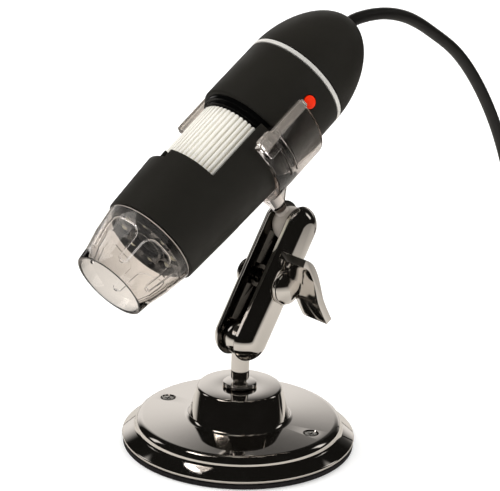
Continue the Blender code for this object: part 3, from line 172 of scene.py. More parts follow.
GLAND_END_STATION = TAIL_STATION + TAIL_LENGTH - 0.0021
HOLDER_BORE = BARREL_RADIUS + GAP
HOLDER_RADIUS = HOLDER_BORE + 0.0018

# Cord
CORD_RADIUS = 0.0019
CORD_LIE = 0.0020


def frames():
    """Axes of the stud, arm, clamp, head and microscope, from the same angles as the part's."""
    lean = radians(ARM_LEAN)
    along_x = Matrix(((0, 0, 1, 0), (1, 0, 0, 0), (0, 1, 0, 0), (0, 0, 0, 1)))
    stud = Matrix.Translation((0, 0, BALL_HEIGHT))
    arm = stud @ Matrix.Rotation(-lean, 4, "X")
    clamp = arm @ Matrix.Translation((0, 0, CLAMP_STATION)) @ Matrix.Rotation(lean, 4, "X") @ along_x
    pitch = Matrix.Rotation(radians(ARM_LEAN + PITCH - 90.0), 4, "X")
    turn = Matrix.Rotation(radians(HEAD_TURN), 4, "Z")
    head = arm @ Matrix.Translation((0, 0, BALL_SPACING)) @ pitch @ turn
    scope = head @ Matrix.Translation((-AXIS_TO_BALL, 0, -BALL_STATION)) @ turn.inverted()
    return stud, arm, clamp, head, scope


STUD, ARM, CLAMP, HEAD, SCOPE = frames()
# X and Z changed over, which also mirrors a piece
SWAPPED = Matrix(((0, 0, 1, 0), (0, 1, 0, 0), (1, 0, 0, 0), (0, 0, 0, 1)))


# Camera and light


def make_camera():
    """Camera fitted to the photograph: its lens, its own axes and its place."""
    data = bpy.data.cameras.new("camera")
    data.lens = 213.26
    data.sensor_width = 36.0
    data.clip_start = 0.05
    data.clip_end = 20.0
    camera = bpy.data.objects.new("camera", data)
    bpy.context.scene.collection.objects.link(camera)
    right = Vector((0.693413, 0.719917, 0.029986))
    up = Vector((-0.275101, 0.226051, 0.934463))
    back = Vector((0.665957, -0.656217, 0.354796))
    turn = Matrix((right, up, back)).transposed().to_4x4()
    camera.matrix_world = Matrix.Translation((0.583826, -0.572794, 0.373538)) @ turn
    bpy.context.scene.camera = camera


def soft_box(name, place, size, power):
    """Area lamp that looks at the middle of the object."""
    data = bpy.data.lights.new(name, "AREA")
    data.shape = "RECTANGLE"
    data.size, data.size_y = size
    data.energy = power
    lamp = bpy.data.objects.new(name, data)
    bpy.context.scene.collection.objects.link(lamp)
    lamp.location = place
    # The chrome shows the studio's own bright and dark parts, not the lamps
    lamp.visible_glossy = False
    lamp.rotation_mode = "QUATERNION"
    lamp.rotation_quaternion = (Vector((0, 0, 0.06)) - Vector(place)).to_track_quat("-Z", "Y")


def linear(code):
    """Linear colour of an sRGB hex code."""
    shares = [int(code[i:i + 2], 16) / 255 for i in (1, 3, 5)]
    return (*(s / 12.92 if s <= 0.04045 else ((s + 0.055) / 1.055) ** 2.4 for s in shares), 1.0)


def add(tree, kind, settings=(), values=(), links=()):
    """Adds a node with its settings, its sockets' values and what its sockets are linked to."""
    node = tree.nodes.new(kind)
    for name, value in dict(settings).items():
        setattr(node, name, value)
    for name, value in dict(values).items():
        node.inputs[name].default_value = value
    for name, socket in dict(links).items():
        tree.links.new(socket, node.inputs[name])
    return node


# Level directions: toward the dark end of the studio, where the photographer stands, and to their left
DARK_END = (0.712, -0.702, 0.0)
BRIGHT_SIDE = (-0.702, -0.712, 0.0)


def make_world():
    """White studio: chrome sees a bright low backdrop, two strip lights, a dark ceiling and a dark end."""
    world = bpy.data.worlds.new("studio")
    bpy.context.scene.world = world
    world.use_nodes = True
    tree = world.node_tree
    tree.nodes.clear()
    path = add(tree, "ShaderNodeLightPath")
    direction = add(tree, "ShaderNodeTexCoord").outputs["Generated"]
    height = add(tree, "ShaderNodeSeparateXYZ", links={"Vector": direction})
    left = add(tree, "ShaderNodeVectorMath", {"operation": "DOT_PRODUCT"}, {1: BRIGHT_SIDE}, {0: direction})
    facing = add(tree, "ShaderNodeVectorMath", {"operation": "DOT_PRODUCT"}, {1: DARK_END}, {0: direction})
    # The backdrop's bright part reaches higher on the left
    level = add(tree, "ShaderNodeMath", {"operation": "MULTIPLY_ADD"}, {1: -0.7},
                {0: left.outputs["Value"], 2: height.outputs["Z"]})
    # A tall narrow light on either side draws the white lines along the chrome's edges
    off_strip = add(tree, "ShaderNodeMath", {"operation": "ADD"}, {1: 0.30}, {0: facing.outputs["Value"]})
    from_strip = add(tree, "ShaderNodeMath", {"operation": "ABSOLUTE"}, links={0: off_strip.outputs[0]})
    off_height = add(tree, "ShaderNodeMath", {"operation": "SUBTRACT"}, {1: 0.45}, {0: height.outputs["Z"]})
    from_height = add(tree, "ShaderNodeMath", {"operation": "ABSOLUTE"}, links={0: off_height.outputs[0]})
    # What is bright up to the first value has faded to the last number at the second one
    fades = []
    for measure, full, gone, rest in (
        (level.outputs[0], 0.26, 0.66, 0.07), (facing.outputs["Value"], -0.90, -0.70, 0.0),
        (from_strip.outputs[0], 0.05, 0.12, 0.0), (from_height.outputs[0], 0.12, 0.22, 0.0),
    ):
        fade = add(tree, "ShaderNodeMapRange", {"interpolation_type": "SMOOTHSTEP"}, {
            "From Min": full, "From Max": gone, "To Min": 1.0, "To Max": rest,
        }, {"Value": measure})
        fades.append(fade.outputs["Result"])
    above, beside, across, along = fades
    backdrop = add(tree, "ShaderNodeMath", {"operation": "MULTIPLY"}, links={0: above, 1: beside})
    strips = add(tree, "ShaderNodeMath", {"operation": "MULTIPLY"}, links={0: across, 1: along})
    bright = add(tree, "ShaderNodeMath", {"operation": "MAXIMUM"}, links={
        0: backdrop.outputs[0], 1: strips.outputs[0],
    })
    seen = add(
        tree, "ShaderNodeMix", {"data_type": "RGBA"}, {6: linear("#151412"), 7: linear("#f2eeea")},
        {0: bright.outputs[0]},
    )
    mirrored = add(tree, "ShaderNodeBackground", links={"Color": seen.outputs[2]})
    plain = add(tree, "ShaderNodeBackground", values={"Color": linear("#ffffff"), "Strength": 1.0})
    fill = add(tree, "ShaderNodeBackground", values={"Color": linear("#ffffff"), "Strength": 0.60})
    lit = add(tree, "ShaderNodeMixShader", links={
        0: path.outputs["Is Glossy Ray"], 1: fill.outputs[0], 2: mirrored.outputs[0],
    })
    through = add(tree, "ShaderNodeMath", {"operation": "MAXIMUM"}, links={
        0: path.outputs["Is Camera Ray"], 1: path.outputs["Is Transmission Ray"],
    })
    whole = add(tree, "ShaderNodeMixShader", links={
        0: through.outputs[0], 1: lit.outputs[0], 2: plain.outputs[0],
    })
    add(tree, "ShaderNodeOutputWorld", links={"Surface": whole.outputs[0]})


def make_floor():
    """Pale seamless sheet that keeps the soft shadow."""
    bpy.ops.mesh.primitive_circle_add(vertices=64, radius=2.6, fill_type="NGON", location=(0, 0, -0.0001))
    floor = bpy.context.object
    floor.name = "floor"
    material = bpy.data.materials.new("white_paper")
    material.use_nodes = True
    tree = material.node_tree
    tree.nodes.clear()
    path = add(tree, "ShaderNodeLightPath")
    # Painted reflection: to glossy rays the paper is painted warm grey near the object and darker further
    # away, standing in for the studio light falling off
    place = add(tree, "ShaderNodeTexCoord")
    distance = add(tree, "ShaderNodeVectorMath", {"operation": "LENGTH"}, links={0: place.outputs["Object"]})
    away = add(tree, "ShaderNodeMapRange", values={"From Min": 0.12, "From Max": 0.60},
               links={"Value": distance.outputs["Value"]})
    far = add(tree, "ShaderNodeMath", {"operation": "POWER"}, {1: 0.55}, {0: away.outputs["Result"]})
    mirrored = add(tree, "ShaderNodeMix", {"data_type": "RGBA"}, {6: linear("#cdc8c1"), 7: linear("#1c1a17")},
                   {0: far.outputs[0]})
    tone = add(tree, "ShaderNodeMix", {"data_type": "RGBA"}, {6: linear("#f6f6f5")},
               {0: path.outputs["Is Glossy Ray"], 7: mirrored.outputs[2]})
    paper = add(tree, "ShaderNodeBsdfDiffuse", links={"Color": tone.outputs[2]})
    direct = add(tree, "ShaderNodeMath", {"operation": "MAXIMUM"}, links={
        0: path.outputs["Is Camera Ray"], 1: path.outputs["Is Transmission Ray"],
    })
    lift = add(tree, "ShaderNodeMath", {"operation": "MULTIPLY"}, {1: 0.20}, {0: direct.outputs[0]})
    glow = add(tree, "ShaderNodeEmission", values={"Color": linear("#ffffff")}, links={
        "Strength": lift.outputs[0],
    })
    both = add(tree, "ShaderNodeAddShader", links={0: paper.outputs[0], 1: glow.outputs[0]})
    add(tree, "ShaderNodeOutputMaterial", links={"Surface": both.outputs[0]})
    floor.data.materials.append(material)


# Modelling


def only(piece):
    """Makes one object the selected and active one."""
    bpy.ops.object.select_all(action="DESELECT")
    piece.select_set(True)
    bpy.context.view_layer.objects.active = piece


def named(name):
    """The primitive that was just added, under its own name."""
    piece = bpy.context.object
    piece.name = piece.data.name = name
    return piece


def open_piece(piece):
    only(piece)
    bpy.ops.object.mode_set(mode="EDIT")


def close_piece():
    bpy.ops.mesh.select_all(action="SELECT")
    bpy.ops.mesh.normals_make_consistent(inside=False)
    bpy.ops.object.mode_set(mode="OBJECT")


def pull(rise):
    """Extrudes what is picked in the open piece along its axis."""
    bpy.ops.mesh.extrude_region_move(TRANSFORM_OT_translate={"value": (0, 0, rise)})


def draw_in(share, height):
    """Scales what is picked in the open piece toward its axis."""
    bpy.ops.transform.resize(value=(share, share, 1.0), center_override=(0, 0, height))


def pick(kind, test):
    """Selects the vertices, edges or faces of the open piece that pass a test."""
    bpy.context.tool_settings.mesh_select_mode = [kind == k for k in ("VERT", "EDGE", "FACE")]
    bpy.ops.mesh.select_all(action="DESELECT")
    mesh = bpy.context.edit_object.data
    shape = bmesh.from_edit_mesh(mesh)
    for item in {"VERT": shape.verts, "EDGE": shape.edges, "FACE": shape.faces}[kind]:
        item.select_set(bool(test(item)))
    shape.select_flush_mode()
    bmesh.update_edit_mesh(mesh)


def face_outward(piece):
    """Turns the normals of a mirrored piece outward again."""
    open_piece(piece)
    close_piece()


def seat(piece, where):
    """Moves a finished piece from its own axes into the frame's place."""
    only(piece)
    piece.matrix_world = where @ piece.matrix_world
    bpy.ops.object.transform_apply(location=True, rotation=True, scale=True)
    return piece


def apply(piece, kind, **settings):
    """Adds a modifier and applies it."""
    only(piece)
    step = piece.modifiers.new(kind.lower(), kind)
    for name, value in settings.items():
        setattr(step, name, value)
    bpy.ops.object.modifier_apply(modifier=step.name)


def soften(piece, width, steps=2, angle=35.0):
    """Rounds a piece's sharp edges a little."""
    apply(
        piece, "BEVEL", width=width, segments=steps, limit_method="ANGLE",
        angle_limit=radians(angle), use_clamp_overlap=True,
    )


def shade(piece, angle=35.0):
    only(piece)
    bpy.ops.object.shade_smooth_by_angle(angle=radians(angle))


def carve(piece, cutter, operation="DIFFERENCE"):
    """Boolean of a piece with a cutter, which is then thrown away."""
    apply(piece, "BOOLEAN", operation=operation, solver="EXACT", object=cutter)
    bpy.data.objects.remove(cutter, do_unlink=True)


def copy_of(piece, name):
    twin = piece.copy()
    twin.data = piece.data.copy()
    twin.name = twin.data.name = name
    bpy.context.scene.collection.objects.link(twin)
    return twin


def arc(middle, radius, start, end, steps):
    """Points on an arc, angles in degrees."""
    turns = [radians(start + (end - start) * i / steps) for i in range(steps + 1)]
    return [(middle[0] + radius * cos(t), middle[1] + radius * sin(t)) for t in turns]


def crown(rim, rise, top, steps):
    """Shallow round dome from its middle out to its rim, (radius, height) points."""
    sphere = (rim**2 + rise**2) / (2 * rise)
    spread = degrees(atan2(rim, sphere - rise))
    return [(0.0, top), *arc((0, top - sphere), sphere, 90.0, 90.0 - spread, steps)[1:]]


def round_corner(corners, i):
    """Rounds one corner of a turned piece with a bevel along its ring."""
    radius, height, size = corners[i]
    here = Vector((radius, height))
    back = (Vector(corners[i - 1][:2]) - here).normalized()
    ahead = (Vector(corners[(i + 1) % len(corners)][:2]) - here).normalized()
    offset = size / tan(back.angle(ahead) / 2)

    def on_ring(edge):
        return all(
            abs(v.co.z - height) < 2 * SAME and abs(v.co.xy.length - radius) < 2 * SAME for v in edge.verts
        )

    pick("EDGE", on_ring)
    steps = 3 if size < 0.001 else 6
    bpy.ops.mesh.bevel(offset_type="OFFSET", offset=offset, segments=steps, profile=0.5, affect="EDGES")


def turned(name, profile, closed=False, steps=TURNED_STEPS):
    """Turned piece: a ring is extruded from corner to corner, (radius, height, round), down the outside.

    A closed profile is a ring's section. Any other one starts and ends on the axis.
    """
    corners = [(*corner, 0.0)[:3] for corner in profile]
    first = 0 if closed else 1
    radius, height = corners[first][:2]
    bpy.ops.mesh.primitive_circle_add(vertices=steps, radius=radius, fill_type="NOTHING")
    piece = named(name)
    open_piece(piece)
    bpy.ops.transform.translate(value=(0, 0, height))
    for corner in corners[first + 1:]:
        pull(corner[1] - height)
        height = corner[1]
        if corner[0] == 0.0:
            bpy.ops.mesh.merge(type="CENTER")
            break
        draw_in(corner[0] / radius, height)
        radius = corner[0]
    pick("EDGE", lambda edge: edge.is_boundary)
    if closed:
        bpy.ops.mesh.bridge_edge_loops()
    else:
        pull(corners[0][1] - corners[1][1])
        bpy.ops.mesh.merge(type="CENTER")
    for i, corner in enumerate(corners):
        if corner[2] > 0.0:
            round_corner(corners, i)
    close_piece()
    shade(piece)
    return piece


def peg(name, radius, bottom, top, steps):
    """Plain round cutter."""
    return turned(name, ((0.0, top), (radius, top), (radius, bottom), (0.0, bottom)), steps=steps)


def block(name, size, middle, edge=0.0, steps=3):
    """Box with rounded edges."""
    bpy.ops.mesh.primitive_cube_add(size=1.0)
    piece = named(name)
    open_piece(piece)
    bpy.ops.transform.resize(value=size, center_override=(0, 0, 0))
    bpy.ops.transform.translate(value=middle)
    if edge:
        bpy.ops.mesh.bevel(offset=edge, segments=steps, profile=0.5, affect="EDGES")
    close_piece()
    shade(piece)
    return piece


def raised(name, outline, bottom, top):
    """Flat outline in the XY plane, drawn corner by corner and pulled up to its height."""
    bpy.ops.mesh.primitive_circle_add(vertices=len(outline), radius=1.0, fill_type="NGON")
    piece = named(name)
    for corner, (x, y) in zip(piece.data.vertices, outline):
        corner.co = (x, y, bottom)
    open_piece(piece)
    bpy.ops.mesh.select_all(action="SELECT")
    pull(top - bottom)
    close_piece()
    return piece


def ball(name, radius, middle, rings=32):
    bpy.ops.mesh.primitive_uv_sphere_add(segments=2 * rings, ring_count=rings, radius=radius)
    piece = named(name)
    open_piece(piece)
    bpy.ops.transform.translate(value=middle)
    close_piece()
    shade(piece)
    return piece


def tube(name, points, radius, roundness):
    """Round cord or bead along a line of points, a curve with closed ends."""
    curve = bpy.data.curves.new(name, "CURVE")
    curve.dimensions = "3D"
    curve.bevel_depth = radius
    curve.bevel_resolution = roundness
    curve.use_fill_caps = True
    line = curve.splines.new("POLY")
    line.points.add(len(points) - 1)
    for spot, point in zip(line.points, points):
        spot.co = (*point, 1.0)
    line.use_smooth = True
    piece = bpy.data.objects.new(name, curve)
    bpy.context.scene.collection.objects.link(piece)
    return piece


def other_finish(piece, material, chosen):
    """Gives the chosen faces of a piece another material."""
    piece.data.materials.append(material)
    for face, other in zip(piece.data.polygons, chosen):
        if other:
            face.material_index = len(piece.data.materials) - 1


def fit(piece, body, material, slot, *nodes):
    """Gives a finished piece its material and its body, and hides the part's nodes that it stands for."""
    piece.data.materials.clear()
    piece.data.materials.append(material)
    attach(piece, body)
    if nodes:
        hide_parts(*nodes)
    return piece


# Materials


def pebble(tree, shader, place, size, depth, strength=1.0):
    """Fine bumps of a moulded or painted skin, a given size across and deep."""
    noise = add(tree, "ShaderNodeTexNoise", values={"Scale": 1.0 / size, "Detail": 2.0, "Roughness": 0.5},
                links={"Vector": place})
    bump = add(tree, "ShaderNodeBump", values={"Strength": strength, "Distance": depth},
               links={"Height": noise.outputs["Fac"]})
    tree.links.new(bump.outputs["Normal"], shader.inputs["Normal"])


def handled(tree, shader, place, size, low, high):
    """Slow change of roughness over the surface, as handling and moulding leave it."""
    noise = add(tree, "ShaderNodeTexNoise", values={"Scale": 1.0 / size, "Detail": 3.0},
                links={"Vector": place})
    spread = add(tree, "ShaderNodeMapRange", values={
        "From Min": 0.3, "From Max": 0.7, "To Min": low, "To Max": high,
    }, links={"Value": noise.outputs["Fac"]})
    tree.links.new(spread.outputs["Result"], shader.inputs["Roughness"])


def mottle(tree, shader, place, size, first, second):
    """Two close colours that drift into each other over the surface."""
    noise = add(tree, "ShaderNodeTexNoise", values={"Scale": 1.0 / size, "Detail": 4.0},
                links={"Vector": place})
    blend = add(tree, "ShaderNodeMix", {"data_type": "RGBA"}, {6: linear(first), 7: linear(second)},
                {0: noise.outputs["Fac"]})
    tree.links.new(blend.outputs[2], shader.inputs["Base Color"])


def surface(name, colour, metallic, roughness, mottled=None, worn=None, grain=None, **more):
    """Principled material with plain values, then what mottle, handled and pebble add where given."""
    material = bpy.data.materials.new(name)
    material.use_nodes = True
    tree = material.node_tree
    shader = tree.nodes["Principled BSDF"]
    shader.inputs["Base Color"].default_value = linear(colour)
    shader.inputs["Metallic"].default_value = metallic
    shader.inputs["Roughness"].default_value = roughness
    for socket, value in more.items():
        shader.inputs[socket.replace("_", " ")].default_value = value
    place = add(tree, "ShaderNodeTexCoord").outputs["Object"]
    for change, values in ((mottle, mottled), (handled, worn), (pebble, grain)):
        if values:
            change(tree, shader, place, *values)
    return material


def clear_plastic(name, tint, depth_tint, density):
    """Clear moulded acrylic: bends light at its edges, darkens with depth, with slight flow ripples."""
    material = surface(name, tint, 0.0, 0.02, grain=(0.004, 0.00003, 0.25),
                       Transmission_Weight=1.0, IOR=1.45, Specular_IOR_Level=0.3)
    tree = material.node_tree
    depth = add(tree, "ShaderNodeVolumeAbsorption", values={"Color": linear(depth_tint), "Density": density})
    tree.links.new(depth.outputs[0], tree.nodes["Material Output"].inputs["Volume"])
    return material


def ground_plastic(name, clearness, roughness):
    """The same acrylic where it is ground or scuffed: milky, with a soft shine."""
    return surface(name, "#efece8", 0.0, roughness, mottled=(0.0016, "#f8efe5", "#dfd5ca"),
                   worn=(0.004, 0.8 * roughness, 1.2 * roughness),
                   Transmission_Weight=clearness, IOR=1.45, Specular_IOR_Level=0.3)


def solder_mask():
    """Green solder mask over glass-fibre board, glossy, with the copper's paths just showing."""
    material = surface("solder_mask", "#1d5a35", 0.0, 0.30)
    tree = material.node_tree
    tracks = add(tree, "ShaderNodeTexBrick", values={
        "Scale": 260.0, "Mortar Size": 0.06, "Color1": linear("#1a5531"), "Color2": linear("#205f39"),
        "Mortar": linear("#3f8a57"),
    }, links={"Vector": tree.nodes["Texture Coordinate"].outputs["Object"]})
    tree.links.new(tracks.outputs["Color"], tree.nodes["Principled BSDF"].inputs["Base Color"])
    return material


# Bright chrome on a zinc casting: mirror-like, faintly warm, with slight waves left by polishing
CHROME = surface("chrome_plate", "#e3dfda", 1.0, 0.05,
                 worn=(0.008, 0.035, 0.085), grain=(0.006, 0.00002, 0.35))
# Chrome in the recesses between the plates: duller than outside, and its colour darkened as painted shade
# where the plates shade each other
RECESS_PAINTED_SHADE = surface("recess_chrome_painted_shade", "#4c4945", 1.0, 0.16, worn=(0.003, 0.10, 0.24), grain=(0.0015, 0.00002, 0.6))
# Zinc-plated steel of screws and nuts: greyer and duller than the chrome
STEEL = surface("zinc_plated_steel", "#a9a7a2", 1.0, 0.30,
                worn=(0.002, 0.22, 0.40), grain=(0.0004, 0.00001, 0.5))
# Closed-cell rubber under the base: near black, with a dull open grain
PAD = surface("closed_cell_rubber", "#201e1e", 0.0, 0.85, mottled=(0.0012, "#1a1818", "#282526"),
              grain=(0.0005, 0.00006), Specular_IOR_Level=0.2)
# Soft-touch paint on moulded ABS: a warm black with a fine grain and a broad dim sheen. The real
# grain is about 0.1 mm, drawn at 0.35 mm so that it shows
SOFT = surface("soft_touch_paint", "#211f1b", 0.0, 0.52, mottled=(0.010, "#201e1a", "#25231e"),
               worn=(0.006, 0.47, 0.58), grain=(0.00035, 0.000012, 0.5), Specular_IOR_Level=0.25)
# Polished black ABS of the lamp face and the switch: deep black, hardly veiled by its shine
GLOSS = surface("polished_abs", "#060606", 0.0, 0.10, worn=(0.003, 0.06, 0.14),
                grain=(0.002, 0.00001, 0.3), Specular_IOR_Level=0.10)
# Matt black plastic inside, kept dull against stray light
INNER = surface("matt_black_nylon", "#171614", 0.0, 0.70,
                worn=(0.003, 0.62, 0.78), grain=(0.0005, 0.00002, 0.5))
# Ivory white moulded ABS of the focus ring, satin, a little darker where fingers turn it
IVORY = surface("ivory_abs", "#f8f5ec", 0.0, 0.38, mottled=(0.007, "#faf7ef", "#f2eee3"),
                worn=(0.004, 0.32, 0.46), grain=(0.0006, 0.00001, 0.4))
# Satin vacuum-metallised trim ring: pale silver with a broad soft sheen
SILVER = surface("metallised_trim", "#f6f3ec", 0.4, 0.40,
                 worn=(0.003, 0.33, 0.44), grain=(0.0004, 0.000006, 0.4))
# Nickel-plated folded steel of the plug's shell: warmer and duller than the chrome
NICKEL = surface("nickel_plate", "#c9c5bc", 1.0, 0.22,
                 worn=(0.003, 0.16, 0.30), grain=(0.0008, 0.000008, 0.4))
# Orange-red moulded button, satin with a soft highlight
RED = surface("orange_red_abs", "#f23006", 0.0, 0.36, mottled=(0.002, "#f83104", "#ec2b02"),
              worn=(0.001, 0.30, 0.42), Specular_IOR_Level=0.15)
CAP_CLEAR = clear_plastic("clear_cap_plastic", "#f4f0ec", "#d8cabf", 80.0)
HOLDER_CLEAR = clear_plastic("clear_holder_plastic", "#f5f2ef", "#d2c6be", 120.0)
GROUND_CLEAR = ground_plastic("ground_clear_plastic", 0.45, 0.22)
SCUFFED_CLEAR = ground_plastic("scuffed_clear_plastic", 0.86, 0.08)
# Water-clear epoxy of the white lamps over a yellowish phosphor
LAMP = surface("lamp_epoxy", "#f3f0da", 0.0, 0.08, mottled=(0.0015, "#f6f5ea", "#e9dfa9"),
               Transmission_Weight=0.55, IOR=1.5)
BOARD = solder_mask()
# Cover glass of the image sensor over its dark die: a bluish black under a clear coat
SENSOR = surface("sensor_cover_glass", "#20242c", 0.3, 0.12,
                 mottled=(0.0012, "#1c2029", "#2d2a38"), Coat_Weight=0.8)
# Coated optical glass of the lens: clear, with a hard shine
LENS = surface("coated_glass", "#dfe6ee", 0.0, 0.02, Transmission_Weight=1.0, IOR=1.52)
# Soft black PVC of the cord and its mouldings: dim gloss with a fine drag of the extruder
PVC = surface("soft_pvc", "#151412", 0.0, 0.42, mottled=(0.006, "#131210", "#1b1917"),
              worn=(0.004, 0.36, 0.50), grain=(0.0006, 0.000012, 0.5), Specular_IOR_Level=0.35)


# Stand


def make_base():
    """Plated base: one turned shell of rim, disc and hub, the pad under it, and its screws."""
    ceiling = DISC_EDGE_HEIGHT - BASE_WALL
    bore = STUD_SHANK_RADIUS + GAP
    base = turned("base_plating", (
        (HUB_TOP_RADIUS, HUB_TOP_HEIGHT, HUB_TOP_ROUND),
        (HUB_FOOT_RADIUS, DISC_HUB_HEIGHT, HUB_FOOT_ROUND),
        (SHOULDER_RADIUS, DISC_EDGE_HEIGHT, SHOULDER_ROUND),
        (SHOULDER_RADIUS, STEP_HEIGHT, CRISP_EDGE),
        (FLANGE_RADIUS, FLANGE_HEIGHT, CRISP_EDGE),
        (RIM_RADIUS, BASE_BOTTOM + RIM_HEIGHT, RIM_ROUND),
        (RIM_RADIUS - RIM_ROUND, BASE_BOTTOM, SHARP_EDGE),
        (RIM_RADIUS - BASE_WALL, BASE_BOTTOM),
        (SHOULDER_RADIUS - BASE_WALL, ceiling),
        (HUB_FOOT_RADIUS - HUB_WALL, ceiling),
        (HUB_TOP_RADIUS - HUB_WALL, HUB_TOP_HEIGHT - HUB_CEILING),
        (bore, HUB_TOP_HEIGHT - HUB_CEILING),
        (bore, HUB_TOP_HEIGHT, SHARP_EDGE),
    ), closed=True, steps=BASE_STEPS)
    pad = turned("foot_pad", (
        (0.0, PAD_THICKNESS), (PAD_RADIUS, PAD_THICKNESS, CRISP_EDGE), (PAD_RADIUS, 0.0, 0.0003), (0.0, 0.0),
    ), steps=BASE_STEPS)
    fit(pad, "stand", PAD, "base_pad", "base_pad")
    share = (SCREW_CIRCLE_RADIUS - HUB_FOOT_RADIUS) / (SHOULDER_RADIUS - HUB_FOOT_RADIUS)
    top = DISC_HUB_HEIGHT + (DISC_EDGE_HEIGHT - DISC_HUB_HEIGHT) * share
    for number, angle in enumerate(SCREW_ANGLES):
        turn = radians(angle)
        spot = Matrix.Translation((SCREW_CIRCLE_RADIUS * cos(turn), SCREW_CIRCLE_RADIUS * sin(turn), top))
        sink = turned("screw_sink", (
            (0.0, 0.002), (0.0027, 0.002), (0.0024, 0.0), (0.0021, -0.0004), (0.0021, -0.0009),
            (0.0014, -0.0012), (0.0014, -0.006), (0.0, -0.006),
        ), steps=SMALL_STEPS)
        carve(base, seat(sink, spot))
        screw = turned(f"countersunk_screw_{number + 1}", (
            (0.0, -SCREW_SINK), (SCREW_HEAD_RADIUS, -SCREW_SINK, SHARP_EDGE), (SCREW_HEAD_RADIUS, -0.0005),
            (SCREW_SHANK_RADIUS, -0.0011), (SCREW_SHANK_RADIUS, -SCREW_LENGTH), (0.0, -SCREW_LENGTH),
        ), steps=SMALL_STEPS)
        for slot_angle in (20.0, 110.0):
            slot = block("cross_slot", (0.0021, 0.00042, 0.0010), (0, 0, -0.0004))
            carve(screw, seat(slot, Matrix.Rotation(radians(slot_angle), 4, "Z")))
        shade(screw)
        fit(seat(screw, spot), "stand", STEEL, "steel", f"base_screw_{number + 1}")
    shade(base)
    fit(base, "stand", CHROME, "chrome", "base_shell")


def make_stud():
    """Ball, stem, collar and shank in one turned piece."""
    collar = HUB_TOP_HEIGHT + GAP - BALL_HEIGHT
    top = collar + COLLAR_HEIGHT
    end = STUD_SHANK_END - BALL_HEIGHT
    joint = degrees(atan2(-sqrt(BALL_RADIUS**2 - STEM_RADIUS**2), STEM_RADIUS))
    globe = arc((0, 0), BALL_RADIUS, 90.0, joint, 36)[1:]
    stud = turned("stud_with_ball", (
        (0.0, BALL_RADIUS),
        *globe,
        (STEM_RADIUS, top + STEM_FOOT_HEIGHT, 0.0008),
        (STUD_SHANK_RADIUS, top + 0.0003, CRISP_EDGE),
        (STUD_SHANK_RADIUS, top),
        (COLLAR_RADIUS, top, 0.0004),
        (COLLAR_RADIUS, collar, SHARP_EDGE),
        (STUD_SHANK_RADIUS, collar),
        (STUD_SHANK_RADIUS, end),
        (0.0, end),
    ), steps=SMALL_STEPS)
    fit(seat(stud, STUD), "stud", CHROME, "chrome", "ball_stud")


# Arm


# How far out of the arm's middle a plate's recess reaches, and how far to either side
RECESS_REACH = PLATE_INNER + 0.0030
RECESS_HALF_WIDTH = 0.0040


def in_recess(face):
    """Whether a face of a plate looks at the other plate, or walls its ball seats and its channel."""
    if abs(face.center.x) >= RECESS_REACH:
        return False
    looks_in = face.normal.x * face.center.x < -SAME
    return looks_in or (abs(face.center.y) < RECESS_HALF_WIDTH and abs(face.normal.x) < 0.3)


def make_plate(name, turn, node):
    """Half-oval plate: a round is pulled long, given its thickness, and rounded over outside."""
    bpy.ops.mesh.primitive_circle_add(vertices=SMALL_STEPS, radius=PLATE_WIDTH / 2, fill_type="NGON")
    plate = named(name)
    open_piece(plate)
    half_step = radians(180.0 / SMALL_STEPS)
    bpy.ops.transform.rotate(value=half_step, orient_axis="Z", center_override=(0, 0, 0))
    pick("VERT", lambda v: v.co.x > 0)
    bpy.ops.transform.translate(value=(BALL_SPACING, 0, 0))
    bpy.ops.mesh.select_all(action="SELECT")
    pull(PLATE_THICKNESS)
    pick("EDGE", lambda e: min(v.co.z for v in e.verts) > PLATE_THICKNESS - SAME)
    bpy.ops.mesh.bevel(offset=PLATE_ROUND, segments=12, profile=0.40, affect="EDGES")
    pick("EDGE", lambda e: max(v.co.z for v in e.verts) < SAME and len(e.link_faces) == 2)
    bpy.ops.mesh.bevel(offset=0.0003, segments=3, profile=0.5, affect="EDGES")
    close_piece()
    # From the outline's axes, long along X and thick along Z, to the arm's, long along Z and thick along X
    seat(plate, Matrix.Translation((PLATE_INNER, 0, 0)) @ SWAPPED)
    face_outward(plate)
    seat(plate, Matrix.Rotation(turn, 4, "Z"))
    for height in (0.0, BALL_SPACING):
        carve(plate, ball("ball_seat", BALL_RADIUS + SEAT_CLEARANCE, (0, 0, height)))
    low, high = BALL_TO_POCKET, BALL_SPACING - BALL_TO_POCKET
    size = (2 * (PLATE_INNER + POCKET_DEPTH), POCKET_WIDTH, high - low)
    channel = block("channel", size, (0, 0, (low + high) / 2), 0.0006)
    clamp = ARM.inverted() @ CLAMP
    boss = peg("boss", CLAMP_BOSS_RADIUS, -CUTTER_REACH, CUTTER_REACH, FINE_STEPS)
    carve(channel, seat(boss, clamp))
    carve(plate, channel)
    bolt_hole = peg("bolt_hole", BOLT_RADIUS + GAP, -CUTTER_REACH, CUTTER_REACH, FINE_STEPS)
    carve(plate, seat(bolt_hole, clamp))
    shade(plate)
    # Faces in the recess between the plates take the chrome with painted shade
    painted_shade_faces = [in_recess(face) for face in plate.data.polygons]
    fit(seat(plate, ARM), "arm", CHROME, "chrome", node)
    other_finish(plate, RECESS_PAINTED_SHADE, painted_shade_faces)


